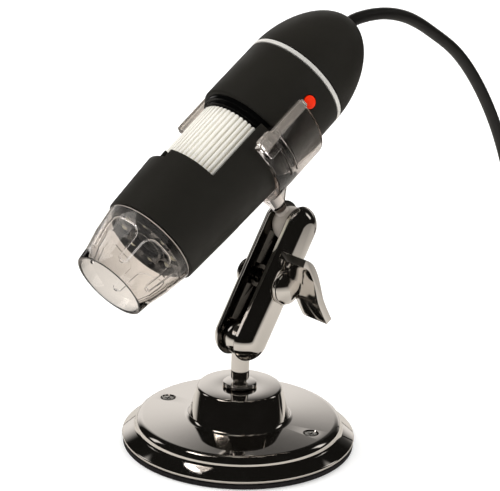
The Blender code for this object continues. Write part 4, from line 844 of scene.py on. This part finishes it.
def make_clamp():
    """Screw with a domed head through both plates, and the washer under the lever."""
    head = PLATE_OUTER + GAP
    tip = head + BOLT_HEAD_RIM + BOLT_CROWN
    crowned = [(radius, -height) for radius, height in crown(BOLT_HEAD_RADIUS, BOLT_CROWN, tip, 10)[::-1]]
    end = LEVER_BOTTOM + LEVER_BORE_DEPTH - GAP
    bolt = turned("clamp_screw", (
        (0.0, end), (BOLT_RADIUS, end), (BOLT_RADIUS, -head), (BOLT_HEAD_RADIUS, -head, SHARP_EDGE), *crowned,
    ), steps=SMALL_STEPS)
    fit(seat(bolt, CLAMP), "arm", CHROME, "chrome", "clamp_bolt")
    top = WASHER_BOTTOM + WASHER_THICKNESS
    washer = turned("plated_washer", (
        (WASHER_RADIUS, top, CRISP_EDGE), (WASHER_RADIUS, WASHER_BOTTOM, SHARP_EDGE),
        (BOLT_RADIUS + GAP, WASHER_BOTTOM), (BOLT_RADIUS + GAP, top),
    ), closed=True, steps=SMALL_STEPS)
    fit(seat(washer, CLAMP), "arm", CHROME, "chrome", "clamp_washer")


# Middle line of the wing, seen along the clamp from +X: (toward +Y, up), top to bottom
WING_LINE = (
    (-0.0054, 0.0121), (-0.0040, 0.0114), (-0.0022, 0.0097), (-0.0004, 0.0062), (0.0009, 0.0023),
    (0.0020, -0.0013), (0.0033, -0.0041), (0.0048, -0.0069), (0.0060, -0.0090),
)


def smooth_line(points, steps):
    """Points on a smooth curve through the given ones."""
    padded = [points[0], *points, points[-1]]
    line = []
    for i in range(len(points) - 1):
        a, b, c, d = (Vector(p) for p in padded[i:i + 4])
        for k in range(steps):
            t = k / steps
            line.append(tuple(0.5 * (
                2 * b + (c - a) * t + (2 * a - 5 * b + 4 * c - d) * t**2 + (3 * b - a - 3 * c + d) * t**3
            )))
    line.append(tuple(points[-1]))
    return line


def line_sides(points, thickness):
    """Both sides of a middle line at half the thickness, as one closed outline."""
    left, right = [], []
    for i, point in enumerate(points):
        before = Vector(points[max(i - 1, 0)])
        after = Vector(points[min(i + 1, len(points) - 1)])
        along = (after - before).normalized()
        across = Vector((-along.y, along.x)) * thickness / 2
        left.append(tuple(Vector(point) + across))
        right.append(tuple(Vector(point) - across))
    return left + right[::-1]


def make_lever():
    """Wing lever: a bent leaf on a round screwed hub."""
    top = LEVER_BOTTOM + LEVER_HUB_LENGTH
    bore_end = LEVER_BOTTOM + LEVER_BORE_DEPTH
    rise = LEVER_HUB_LENGTH - LEVER_HUB_RIM
    hub = crown(LEVER_HUB_RADIUS, rise, top, 14)[:-1]
    lever = turned("wing_lever_casting", (
        *hub, (LEVER_HUB_RADIUS, LEVER_BOTTOM + LEVER_HUB_RIM), (LEVER_HUB_RADIUS, LEVER_BOTTOM),
        (BOLT_RADIUS + GAP, LEVER_BOTTOM), (BOLT_RADIUS + GAP, bore_end), (0.0, bore_end),
    ), steps=SMALL_STEPS)
    root, tip = LEVER_BOTTOM + WING_START, LEVER_BOTTOM + WING_REACH
    outline = line_sides(smooth_line(WING_LINE, 6), WING_THICKNESS)
    leaf = raised("wing_leaf", outline, root, tip)
    low = min(point[1] for point in outline) - EDGE
    high = max(point[1] for point in outline) + EDGE
    near, far = root - EDGE, tip + EDGE
    # Seen from the side, the leaf's lower root corner is swept round and its top corners are eased
    side = [(near, high), (far - WING_TOP_CORNER, high)]
    side += arc((far - WING_TOP_CORNER, high - WING_TOP_CORNER), WING_TOP_CORNER, 90.0, 0.0, 6)
    side += [(far, low), (near + WING_ROOT_CORNER, low)]
    side += arc((near + WING_ROOT_CORNER, low + WING_ROOT_CORNER), WING_ROOT_CORNER, 270.0, 180.0, 8)
    profile = raised("wing_side", side, -PLATE_WIDTH, PLATE_WIDTH)
    seat(profile, SWAPPED)
    face_outward(profile)
    carve(leaf, profile, "INTERSECT")
    soften(leaf, 0.0005, 3)
    carve(lever, leaf, "UNION")
    shade(lever)
    fit(seat(lever, CLAMP), "lever", CHROME, "chrome", "wing_lever")


# Microscope


def cap_bore(station):
    """Inner radius of the nose cap at a station."""
    for (start, low), (end, high) in zip(CAP_LINE, CAP_LINE[1:]):
        if station <= end:
            return low + (high - low) * (station - start) / (end - start) - CAP_WALL
    return CAP_BORE_REAR


ARCH_COUNT = 6
ARCH_MIDDLE = 36.0
ARCH_HALF_ANGLE = 24.0
ARCH_REAR_STATION = 0.0148
ARCH_FOOT_STATION = 0.0046
ARCH_ROUND = 0.0032
ARCH_BEAD = 0.00026


def make_arch():
    """Bead inside the cap: up one leg, round over the top and down the other, ending in hooks."""
    turn = degrees(ARCH_ROUND / cap_bore(ARCH_REAR_STATION))
    leg = [
        (ARCH_HALF_ANGLE + 3.0, ARCH_FOOT_STATION), (ARCH_HALF_ANGLE, ARCH_FOOT_STATION + 0.0004),
        (ARCH_HALF_ANGLE, ARCH_FOOT_STATION + 0.0010), (ARCH_HALF_ANGLE, 0.0090),
    ]
    for x, z in arc((0.0, 0.0), 1.0, 0.0, 90.0, 5):
        leg.append((ARCH_HALF_ANGLE - turn + turn * x, ARCH_REAR_STATION - ARCH_ROUND * (1.0 - z)))
    line = [(-angle, station) for angle, station in leg] + leg[::-1]
    points = []
    for (angle, station), (next_angle, next_station) in zip(line, line[1:]):
        for k in range(4):
            turn = radians(angle + (next_angle - angle) * k / 4)
            height = station + (next_station - station) * k / 4
            radius = cap_bore(height) - ARCH_BEAD / 4
            points.append((radius * cos(turn), radius * sin(turn), height))
    only(tube("arch_bead", points, ARCH_BEAD, 2))
    bpy.ops.object.convert(target="MESH")
    return bpy.context.object


def make_nose_cap():
    """Clear cap turned inside and out, with arches and hook studs on its inner wall."""
    rounds = (0.0003, 0.0030, 0.0030, 0.0003)
    outside = [(radius, station, size) for (station, radius), size in zip(CAP_LINE, rounds)]
    inside = [(radius - CAP_WALL, station, size) for radius, station, size in outside]
    inside[-1] = (CAP_BORE_REAR, CAP_REAR_STATION, CRISP_EDGE)
    cap = turned("clear_nose_cap", outside[::-1] + inside, closed=True)
    arch = make_arch()
    half_step = radians(180.0 / ARCH_COUNT)
    stud_place = (cap_bore(ARCH_FOOT_STATION) - 0.0002, 0, 0.0044)
    for number in range(ARCH_COUNT):
        turn = radians(ARCH_MIDDLE + 360.0 * number / ARCH_COUNT)
        carve(cap, seat(copy_of(arch, "arch_copy"), Matrix.Rotation(turn, 4, "Z")), "UNION")
        stud = block("hook_stud", (0.0010, 0.0013, 0.0009), stud_place, 0.0003)
        carve(cap, seat(stud, Matrix.Rotation(turn + half_step, 4, "Z")), "UNION")
    bpy.data.objects.remove(arch, do_unlink=True)
    shade(cap)
    on_rim = [face.center.z > CAP_REAR_STATION - 0.00035 for face in cap.data.polygons]
    fit(seat(cap, SCOPE), "cap", CAP_CLEAR, "clear", "nose_cap")
    other_finish(cap, GROUND_CLEAR, on_rim)


LAMP_FACE_STATION = 0.0163
LAMP_BACK_STATION = 0.0200
LAMP_FLANGE_THICKNESS = 0.0014
LENS_HOLE_RADIUS = 0.0047
LED_COUNT = 8
LED_CIRCLE_RADIUS = 0.0090
LED_RADIUS = 0.0015
LED_HEIGHT = 0.0030
LED_POCKET_RADIUS = 0.0018
LED_POCKET_MOUTH = 0.0028


def make_lamp_face():
    """Glossy front face with a shallow bowl, and a flared pocket round each domed lamp."""
    outer = BARREL_FRONT_RADIUS - BARREL_WALL - GAP
    rim = CAP_BORE_REAR - 2 * GAP
    front, back = LAMP_FACE_STATION, LAMP_BACK_STATION
    flange, bowl = back - LAMP_FLANGE_THICKNESS, front + 0.0005
    face = turned("lamp_face_polished", (
        (outer, back), (outer, flange), (rim, flange), (rim, front, 0.0004),
        (0.0121, front, CRISP_EDGE), (0.0117, bowl, CRISP_EDGE),
        (0.0061, bowl, CRISP_EDGE), (0.0057, front, CRISP_EDGE),
        (LENS_HOLE_RADIUS, front, 0.0003), (LENS_HOLE_RADIUS, back),
    ), closed=True)
    lens = arc((0, -LED_RADIUS), LED_RADIUS, 0.0, -90.0, 10)[:-1]
    for number in range(LED_COUNT):
        angle = 2 * pi * (number + 0.5) / LED_COUNT
        spot = Matrix.Translation((LED_CIRCLE_RADIUS * cos(angle), LED_CIRCLE_RADIUS * sin(angle), back))
        pocket = turned("lamp_pocket", (
            (0.0, 0.001), (LED_POCKET_RADIUS, 0.001), (LED_POCKET_RADIUS, -0.0014),
            (LED_POCKET_MOUTH, -0.0036), (LED_POCKET_MOUTH, -0.006), (0.0, -0.006),
        ), steps=FINE_STEPS)
        carve(face, seat(pocket, spot))
        lamp = turned(f"lamp_{number + 1}", (
            (0.0, 0.0), (LED_RADIUS, 0.0), *lens, (0.0, -LED_HEIGHT),
        ), steps=FINE_STEPS)
        fit(seat(lamp, SCOPE @ spot), "scope", LAMP, "lamp", f"led_{number + 1}")
    shade(face)
    fit(seat(face, SCOPE), "scope", GLOSS, "gloss_black", "lamp_face")


LENS_TUBE_STATION = 0.0175
LENS_TUBE_RADIUS = 0.0043
LENS_TUBE_BORE = 0.0032
CARRIAGE_STATION = 0.0350
CARRIAGE_END_STATION = 0.0520
CARRIAGE_RADIUS = 0.0077
CARRIAGE_BORE = 0.0057
CARRIAGE_WALL = 0.0020
LENS_STATION = 0.0193
LENS_RADIUS = 0.0029
LENS_RISE = 0.0010


def make_optics():
    """Lens tube that widens into its carriage, and a lens that is round on both sides."""
    web = CARRIAGE_STATION + CARRIAGE_WALL
    carriage = turned("lens_tube", (
        (CARRIAGE_RADIUS, CARRIAGE_END_STATION), (CARRIAGE_RADIUS, CARRIAGE_STATION, 0.0004),
        (LENS_TUBE_RADIUS, CARRIAGE_STATION), (LENS_TUBE_RADIUS, LENS_TUBE_STATION, CRISP_EDGE),
        (LENS_TUBE_BORE, LENS_TUBE_STATION), (LENS_TUBE_BORE, web), (CARRIAGE_BORE, web),
        (CARRIAGE_BORE, CARRIAGE_END_STATION),
    ), closed=True, steps=SMALL_STEPS)
    fit(seat(carriage, SCOPE), "lens_carriage", INNER, "inner_black", "lens_barrel")
    rear = crown(LENS_RADIUS, LENS_RISE, LENS_RISE, 12)[:-1]
    front = [(radius, -height) for radius, height in rear[::-1]]
    glass = turned("objective_lens", (
        *rear, (LENS_RADIUS, 0.0002), (LENS_RADIUS, -0.0002), *front,
    ), steps=SMALL_STEPS)
    place = SCOPE @ Matrix.Translation((0, 0, LENS_STATION))
    fit(seat(glass, place), "lens_carriage", LENS, "lens", "lens")


WINDOW_STATION = 0.0403
WINDOW_STEP_STATION = 0.0373
TAB_END_STATION = WINDOW_STEP_STATION + 0.0022
TOP_WINDOW = (-167.5, -40.0)
WINDOW_STEP_ANGLE = -97.5
LOWER_WINDOW = (42.5, 122.5)
TAB_ANGLES = (-105.0, -102.5)


def angle_of(point):
    return degrees(atan2(point.y, point.x))


def make_front_barrel():
    """Barrel skin as one ring of rows, the windows' faces taken out, then given its wall."""
    rows = (
        (BARREL_FRONT_RADIUS, BARREL_STATION), (BARREL_WAIST_RADIUS, BARREL_WAIST_STATION),
        (0.01628, WINDOW_STEP_STATION), (0.01637, TAB_END_STATION), (0.0164, WINDOW_STATION),
        (BARREL_RADIUS, BARREL_RADIUS_STATION), (BARREL_RADIUS, BARREL_END_STATION),
    )
    bpy.ops.mesh.primitive_circle_add(vertices=TURNED_STEPS, radius=rows[0][0], fill_type="NOTHING")
    barrel = named("front_barrel_skin")
    open_piece(barrel)
    bpy.ops.transform.translate(value=(0, 0, rows[0][1]))
    for (low, start), (high, end) in zip(rows, rows[1:]):
        pull(end - start)
        draw_in(high / low, end)

    def in_window(face):
        spot = face.calc_center_median()
        angle = angle_of(spot)
        if LOWER_WINDOW[0] < angle < LOWER_WINDOW[1]:
            return spot.z > WINDOW_STATION
        if TOP_WINDOW[0] < angle < WINDOW_STEP_ANGLE:
            on_tab = TAB_ANGLES[0] < angle < TAB_ANGLES[1]
            return spot.z > (TAB_END_STATION if on_tab else WINDOW_STEP_STATION)
        return WINDOW_STEP_ANGLE < angle < TOP_WINDOW[1] and spot.z > WINDOW_STATION

    pick("FACE", in_window)
    bpy.ops.mesh.delete(type="FACE")
    close_piece()
    apply(barrel, "SOLIDIFY", thickness=BARREL_WALL, offset=-1.0, use_even_offset=True)
    soften(barrel, 0.0003, 3, 40.0)
    shade(barrel)
    fit(seat(barrel, SCOPE), "scope", SOFT, "soft_black", "front_barrel")


FOCUS_STATION = 0.0406
FOCUS_LENGTH = 0.0202
FOCUS_RADIUS = 0.0142
FOCUS_BORE = 0.0095
FOCUS_RIBS = 56
FOCUS_RIB_DEPTH = 0.0012
POINTS_PER_RIB = 8
# How much wider the ring is past its eased ends, and how long the easing is
FOCUS_SWELL = 1.02
FOCUS_EASE = 0.0004


def make_focus_ring():
    """Ribbed ring: one fine circle whose grooves are pulled in, then pulled long."""
    count = FOCUS_RIBS * POINTS_PER_RIB
    bpy.ops.mesh.primitive_circle_add(vertices=count, radius=FOCUS_RADIUS, fill_type="NOTHING")
    ring = named("ribbed_focus_ring")
    open_piece(ring)
    # Depth of each of a rib's eight points as a share, from the middle of one groove to the next
    for depth, members in ((1.0, (0,)), (0.62, (1, 7)), (0.06, (2, 6))):

        def in_groove(v):
            place = round((angle_of(v.co) % 360.0) / 360.0 * count) % POINTS_PER_RIB
            return place in members

        pick("VERT", in_groove)
        draw_in(1.0 - FOCUS_RIB_DEPTH * depth / FOCUS_RADIUS, 0)
    bpy.ops.mesh.select_all(action="SELECT")
    bpy.ops.transform.translate(value=(0, 0, FOCUS_STATION))
    pull(FOCUS_EASE)
    draw_in(FOCUS_SWELL, 0)
    pull(FOCUS_LENGTH - 2 * FOCUS_EASE)
    pull(FOCUS_EASE)
    draw_in(1 / FOCUS_SWELL, 0)
    bpy.ops.object.mode_set(mode="OBJECT")
    seat(ring, Matrix.Diagonal((1 / FOCUS_SWELL, 1 / FOCUS_SWELL, 1.0, 1.0)))
    for height in (FOCUS_STATION, FOCUS_STATION + FOCUS_LENGTH):
        open_piece(ring)
        pick("EDGE", lambda e: e.is_boundary and all(abs(v.co.z - height) < SAME for v in e.verts))
        pull(0)
        draw_in(FOCUS_BORE / FOCUS_RADIUS, height)
        bpy.ops.object.mode_set(mode="OBJECT")
    open_piece(ring)
    pick("EDGE", lambda e: e.is_boundary)
    bpy.ops.mesh.bridge_edge_loops()
    close_piece()
    shade(ring, 50.0)
    fit(seat(ring, SCOPE), "focus_ring", IVORY, "ivory", "focus_ring")


BUTTON_STATION = 0.0781
BUTTON_ANGLE = -17.4
BUTTON_RADIUS = 0.0020
BUTTON_CROWN = 0.0006
BUTTON_PROUD = 0.0007
BUTTON_FLANGE_RADIUS = 0.0028
BUTTON_FLANGE_THICKNESS = 0.0008
# Radius of the rear body's skin where the button comes through it
BUTTON_SKIN = 0.01667
# From the button's own axes, along its travel, to the microscope's
BUTTON_PLACE = Matrix.Translation((0, 0, BUTTON_STATION))
BUTTON_PLACE @= Matrix.Rotation(radians(BUTTON_ANGLE), 4, "Z") @ Matrix.Rotation(pi / 2, 4, "Y")


def make_rear_body():
    """Rear shell with the collar that the ring turns against, and the satin ring behind it."""
    collar_back = COLLAR_FRONT_STATION + COLLAR_WALL
    step = BARREL_END_STATION + GAP
    body = turned("rear_body_shell", (
        (REAR_END_RADIUS, REAR_END_STATION, CRISP_EDGE),
        (REAR_FRONT_RADIUS, REAR_FRONT_STATION, 0.0008),
        (COLLAR_REAR_RADIUS, REAR_FRONT_STATION, CRISP_EDGE),
        (COLLAR_REAR_RADIUS, step, CRISP_EDGE),
        (COLLAR_FRONT_RADIUS, step, CRISP_EDGE),
        (COLLAR_FRONT_RADIUS, COLLAR_FRONT_STATION, CRISP_EDGE),
        (FOCUS_BORE, COLLAR_FRONT_STATION),
        (FOCUS_BORE, collar_back),
        (0.0130, collar_back),
        (REAR_BORE, 0.0656),
        (REAR_BORE, REAR_END_STATION),
    ), closed=True)
    carve(body, seat(peg("button_hole", BUTTON_RADIUS + GAP, 0.0, 0.03, SMALL_STEPS), BUTTON_PLACE))
    shade(body)
    in_collar = [face.center.z < REAR_FRONT_STATION - 0.00005 for face in body.data.polygons]
    fit(seat(body, SCOPE), "scope", SOFT, "soft_black", "rear_body")
    other_finish(body, GLOSS, in_collar)
    end = RING_STATION + RING_LENGTH
    ring = turned("trim_ring", (
        (RING_RADIUS, end, CRISP_EDGE), (RING_RADIUS, RING_STATION, CRISP_EDGE), (REAR_BORE, RING_STATION),
        (REAR_BORE, end),
    ), closed=True)
    fit(seat(ring, SCOPE), "scope", SILVER, "silver", "silver_ring")


def dome(radius, length, bore, count):
    """Tail's rounded end from its bore out to its full radius, (radius, station) points."""
    points = []
    far = (1.0 - (bore / radius) ** 2) ** (1.0 / TAIL_FULLNESS)
    for i in range(count + 1):
        share = far * sin(pi / 2 * (1.0 - i / count))
        points.append((radius * sqrt(1.0 - share**TAIL_FULLNESS), TAIL_STATION + length * share))
    return points


def make_tail():
    """Domed tail with the spigot that goes into the rear body, and the cord's gland in its tip."""
    spigot = REAR_BORE - GAP
    inner_spigot = spigot - SPIGOT_WALL
    outer = dome(TAIL_RADIUS, TAIL_LENGTH, GLAND_BORE, 28)
    inner = dome(TAIL_RADIUS - TAIL_WALL, TAIL_LENGTH - TAIL_WALL, GLAND_BORE, 12)
    lining = [point for point in inner[::-1] if point[1] > TAIL_STATION + 0.0028]
    tail = turned("tail_shell", (
        *outer,
        (spigot, TAIL_STATION),
        (spigot, RING_STATION - SPIGOT_LENGTH),
        (inner_spigot, RING_STATION - SPIGOT_LENGTH),
        (inner_spigot, TAIL_STATION + 0.0014),
        *lining,
    ), closed=True)
    fit(seat(tail, SCOPE), "scope", SOFT, "soft_black", "tail_dome")
    gland = turned("cord_grommet", (
        (0.0, GLAND_END_STATION), (GLAND_RADIUS, GLAND_END_STATION, 0.0006),
        (GLAND_RADIUS, GLAND_START_STATION), (0.0, GLAND_START_STATION),
    ), steps=SMALL_STEPS)
    fit(seat(gland, SCOPE), "scope", PVC, "cord", "cord_gland")


def make_button():
    """Round button with a shallow dome, and the flange that keeps it in."""
    top = BUTTON_SKIN + BUTTON_PROUD
    flange = sqrt(REAR_BORE**2 - BUTTON_FLANGE_RADIUS**2) - GAP
    under = flange - BUTTON_FLANGE_THICKNESS
    button = turned("round_button", (
        *crown(BUTTON_RADIUS, BUTTON_CROWN, top, 10), (BUTTON_RADIUS, flange),
        (BUTTON_FLANGE_RADIUS, flange, SHARP_EDGE), (BUTTON_FLANGE_RADIUS, under), (0.0, under),
    ), steps=SMALL_STEPS)
    fit(seat(button, SCOPE @ BUTTON_PLACE), "button", RED, "red", "snap_button")


# Clear holder


HOLDER_HALF_WRAP = 110.5
HOLDER_FRONT = BARREL_RADIUS_STATION - BALL_STATION
HOLDER_LENGTH = 0.0205
LIP_RADIUS = 0.0204
LIP_WIDTH = 0.0024
NUB_RADIUS = 0.0216
NUB_WIDTH = 0.0034
NUB_LENGTH = 0.0070
RIDGE_HEIGHTS = (0.0010, 0.0035)
RIDGE_START = -HOLDER_HALF_WRAP + 8.0
RIDGE_END = -HOLDER_HALF_WRAP + 52.0
HOLDER_STEM_RADIUS = 0.0034
HOLDER_NECK_RADIUS = 0.0020
GUSSET_THICKNESS = 0.0022
GUSSET_DROP = 0.0072
GUSSET_FRONT = -0.0042
GUSSET_REAR = 0.0100
GUSSET_TIP = 0.0017


def make_holder():
    """Open ring with thick lips, a nub, a gusset, a stem and a ball, all one moulding."""
    low, high = HOLDER_FRONT, HOLDER_FRONT + HOLDER_LENGTH
    wrap = HOLDER_HALF_WRAP
    lip = degrees(LIP_WIDTH / HOLDER_RADIUS)
    outline = (
        arc((0, 0), LIP_RADIUS, -wrap, -wrap + lip, 4)
        + arc((0, 0), HOLDER_RADIUS, -wrap + lip, wrap - lip, 88)
        + arc((0, 0), LIP_RADIUS, wrap - lip, wrap, 4)
        + arc((0, 0), HOLDER_BORE, wrap, -wrap, 96)
    )
    holder = raised("clear_holder", outline, low, high)
    soften(holder, 0.0004, 3, 50.0)
    nub_size = (NUB_RADIUS - HOLDER_BORE - EDGE, NUB_WIDTH, NUB_LENGTH)
    nub_place = ((NUB_RADIUS + HOLDER_BORE + EDGE) / 2, NUB_WIDTH / 2 - EDGE, low + NUB_LENGTH / 2 + EDGE)
    nub = block("nub", nub_size, nub_place, 0.0014, 5)
    carve(holder, seat(nub, Matrix.Rotation(radians(-wrap), 4, "Z")), "UNION")
    pad = block("nub_pad", (0.0030, 0.0068, 0.0056), (HOLDER_BORE + 0.0020, 0, low + 0.0034), 0.0010)
    carve(holder, seat(pad, Matrix.Rotation(radians(-wrap + 7.0), 4, "Z")), "UNION")
    for height in RIDGE_HEIGHTS:
        band = arc((0, 0), HOLDER_RADIUS + 0.0005, RIDGE_START, RIDGE_END, 30)
        band += arc((0, 0), HOLDER_RADIUS - 0.0005, RIDGE_END, RIDGE_START, 30)
        ridge = raised("ridge", band, height - 0.00035, height + 0.00035)
        soften(ridge, 0.00025, 2)
        carve(holder, ridge, "UNION")
    seat(holder, Matrix.Translation((-AXIS_TO_BALL, 0, 0)))
    reach = HOLDER_RADIUS - 0.0007 - AXIS_TO_BALL
    stem = turned("stem", (
        (0.0, 0.0), (HOLDER_NECK_RADIUS, 0.0), (HOLDER_NECK_RADIUS, -0.0065), (HOLDER_STEM_RADIUS, reach),
        (0.0, reach),
    ), steps=FINE_STEPS)
    carve(holder, seat(stem, Matrix.Rotation(pi / 2, 4, "Y")), "UNION")
    far = HOLDER_RADIUS - AXIS_TO_BALL + GUSSET_DROP
    gusset = raised("gusset", (
        (reach, GUSSET_FRONT), (far, -GUSSET_TIP), (far, GUSSET_TIP), (reach, GUSSET_REAR),
    ), -GUSSET_THICKNESS / 2, GUSSET_THICKNESS / 2)
    soften(gusset, 0.0004, 3)
    carve(holder, seat(gusset, Matrix.Rotation(pi / 2, 4, "X")), "UNION")
    carve(holder, ball("clear_ball", BALL_RADIUS, (0, 0, 0)), "UNION")
    shade(holder)
    near_ball = [face.center.length < 0.0085 for face in holder.data.polygons]
    turns = [degrees(atan2(face.center.y, face.center.x + AXIS_TO_BALL)) for face in holder.data.polygons]
    on_lip = [not -wrap + 9.0 < turn < wrap - 9.0 for turn in turns]
    fit(seat(holder, HEAD), "holder", HOLDER_CLEAR, "clear", "holder")
    other_finish(holder, SCUFFED_CLEAR, on_lip)
    other_finish(holder, GROUND_CLEAR, near_ball)


# Cord


# The free stretch from the tail's gland down to the coil, given point by point
CORD_ROUTE = (
    (-0.0050, 0.0478, 0.1224), (-0.0050, 0.0510, 0.1227), (-0.0050, 0.0555, 0.1227),
    (-0.0050, 0.0617, 0.1220), (-0.0050, 0.0684, 0.1202), (-0.0050, 0.0744, 0.1176),
    (-0.0050, 0.0820, 0.1130), (-0.0050, 0.0950, 0.1035), (-0.0050, 0.1060, 0.0910),
    (-0.0050, 0.1160, 0.0750), (-0.0050, 0.1240, 0.0570), (-0.0050, 0.1310, 0.0380),
    (-0.0040, 0.1385, 0.0200), (-0.0020, 0.1480, 0.0068), (-0.0004, 0.1560, 0.0026),
)
COIL_START = (0.0, 0.1640, CORD_LIE)
COIL_RADIUS = 0.0280
COIL_PITCH = 0.00435
COIL_LAYER_TURNS = 4
COIL_LAYER_RISE = 0.0044
COIL_POINTS_PER_TURN = 24
COIL_CLIMB_TURNS = 0.5
# From the coil's end to the plug, counted from where the coil ends
TAIL_ROUTE = (
    (0.0001, 0.0080, 0.0), (0.0008, 0.0165, -0.0012), (0.0026, 0.0250, -0.0032),
    (0.0066, 0.0316, -0.0043), (0.0124, 0.0352, -0.0044), (0.0182, 0.0360, -0.0044),
)


def even_line(points, step):
    """The same smooth route with points an even step apart."""
    fine = [Vector(p) for p in smooth_line(points, 12)]
    lengths = [0.0]
    for a, b in zip(fine, fine[1:]):
        lengths.append(lengths[-1] + (b - a).length)
    count = max(2, round(lengths[-1] / step))
    line, k = [], 0
    for i in range(count + 1):
        goal = lengths[-1] * i / count
        while k < len(fine) - 2 and lengths[k + 1] < goal:
            k += 1
        share = (goal - lengths[k]) / (lengths[k + 1] - lengths[k])
        line.append(tuple(fine[k].lerp(fine[k + 1], share)))
    return line


def coil_points():
    """Coil wound inward on the table and outward on top, climbing where the spiral turns back."""
    middle = Vector(COIL_START) + Vector((COIL_RADIUS, 2 * CORD_RADIUS, 0))
    points = [tuple(COIL_START)]
    for i in range(2 * COIL_LAYER_TURNS * COIL_POINTS_PER_TURN + 1):
        turn = i / COIL_POINTS_PER_TURN
        radius = COIL_RADIUS - COIL_PITCH * (COIL_LAYER_TURNS - abs(turn - COIL_LAYER_TURNS))
        climb = min(max((turn - COIL_LAYER_TURNS) / COIL_CLIMB_TURNS + 0.5, 0.0), 1.0)
        rise = COIL_LAYER_RISE * climb * climb * (3 - 2 * climb)
        angle = pi - 2 * pi * turn
        points.append(tuple(middle + Vector((radius * cos(angle), radius * sin(angle), rise))))
    points.append(tuple(Vector(points[-1]) + Vector((0, 2 * CORD_RADIUS, 0))))
    return points


def make_cord():
    """Lead on the microscope, and coil with its plug beside the stand, each a free cord."""
    exit_point = SCOPE @ Vector((0, 0, GLAND_END_STATION + GAP))
    straight = SCOPE @ Vector((0, 0, GLAND_END_STATION + GAP + 0.0010))
    coil = coil_points()
    run_end = Vector(coil[0])
    before_end = run_end - Vector((0, GAP + 2 * CORD_RADIUS, 0))
    free = even_line([tuple(straight), *CORD_ROUTE, tuple(before_end)], 0.0022)
    lead_points = [tuple(exit_point), *free, tuple(run_end)]
    lead = tube("cord_lead", lead_points, CORD_RADIUS, 4)
    fit(lead, "scope", PVC, "cord", "cord_run")
    tail_start = Vector(coil[-1]) + Vector((0, GAP, 0))
    square = tail_start + Vector((0, 2 * CORD_RADIUS, 0))
    hops = [tuple(tail_start + Vector(p)) for p in TAIL_ROUTE]
    tail = even_line([tuple(square), *hops], 0.0030)
    last = (hops[-1][0] + 2 * CORD_RADIUS, hops[-1][1], hops[-1][2])
    wound_points = [*smooth_line(coil, 2), *tail, last]
    wound = tube("cord_wound", wound_points, CORD_RADIUS, 4)
    fit(wound, "stand", PVC, "cord", "cord_coil", "cord_tail")
    plug = make_plug(Vector(last))


PLUG_NECK_LENGTH = 0.0080
PLUG_GRIP_SIZE = (0.0200, 0.0155, 0.0080)
PLUG_SHELL_SIZE = (0.0118, 0.0120, 0.0045)
PLUG_SHELL_WALL = 0.0004
PLUG_RIBS = 4


def make_plug(cord_end):
    """Moulded grip with a ribbed neck, the folded shell, and the tongue in its mouth."""
    length, width, thickness = PLUG_GRIP_SIZE
    place = Matrix.Translation((cord_end.x + GAP, cord_end.y, max(thickness / 2, cord_end.z)))
    grip = block("plug_grip", PLUG_GRIP_SIZE, (PLUG_NECK_LENGTH + length / 2, 0, 0), 0.0015, 4)
    neck = turned("neck", (
        (0.0, 0.0), (0.0023, 0.0, 0.0003), (0.0024, 0.0020), (0.0020, 0.0024), (0.0026, 0.0028),
        (0.0026, 0.0044), (0.0022, 0.0048), (0.0029, 0.0052), (0.0030, 0.0084), (0.0, 0.0084),
    ), steps=FINE_STEPS)
    carve(grip, seat(neck, Matrix.Rotation(pi / 2, 4, "Y")), "UNION")
    for side in (-1, 1):
        for i in range(PLUG_RIBS):
            groove_place = (0.0120 + 0.0022 * i, side * (width / 2 - 0.00005), 0)
            carve(grip, block("groove", (0.0008, 0.0010, 0.0050), groove_place))
    shade(grip)
    fit(seat(grip, place), "stand", PVC, "cord", "usb_plug_grip")
    front = PLUG_NECK_LENGTH + length + GAP
    shell = block("plug_shell", PLUG_SHELL_SIZE, (front + PLUG_SHELL_SIZE[0] / 2, 0, 0), 0.0003, 2)
    mouth = (0.0110, PLUG_SHELL_SIZE[1] - 2 * PLUG_SHELL_WALL, PLUG_SHELL_SIZE[2] - 2 * PLUG_SHELL_WALL)
    carve(shell, block("mouth", mouth, (front + 0.0083, 0, 0)))
    for across in (-0.0026, 0.0026):
        carve(shell, block("window", (0.0022, 0.0020, 0.02), (front + 0.0060, across, 0)))
    shade(shell)
    fit(seat(shell, place), "stand", NICKEL, "silver", "usb_plug_shell")
    tongue = block("plug_tongue", (0.0082, 0.0108, 0.0018), (front + 0.0069, 0, -0.0008), 0.0002, 2)
    fit(seat(tongue, place), "stand", INNER, "inner_black")
    return [grip, shell, tongue]


def finish_inside():
    """Materials for the part's own nodes that stay as they are."""
    kept = {
        "ballast_plate": STEEL, "stud_nut": STEEL, "led_board": BOARD, "sensor_board": BOARD,
        "button_board": BOARD, "guide_tube": INNER, "image_sensor": SENSOR, "tact_switch": GLOSS,
    }
    for name, material in kept.items():
        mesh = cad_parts[name].data
        mesh.materials.clear()
        mesh.materials.append(material)


make_camera()
make_cord()
make_world()
make_floor()
soft_box("key", (-0.6, -0.5, 1.0), (0.9, 0.9), 9.0)
soft_box("back", (-0.3, 0.9, 0.9), (1.2, 0.8), 7.0)
soft_box("side", (1.0, 0.4, 0.6), (0.6, 0.9), 4.0)
make_base()
make_stud()
make_plate("arm_plate_a", 0.0, "arm_plate_right")
make_plate("arm_plate_b", pi, "arm_plate_left")
make_clamp()
make_lever()
make_nose_cap()
make_lamp_face()
make_optics()
make_front_barrel()
make_focus_ring()
make_rear_body()
make_tail()
make_button()
make_holder()
finish_inside()

bpy.context.scene.view_settings.view_transform = "Standard"
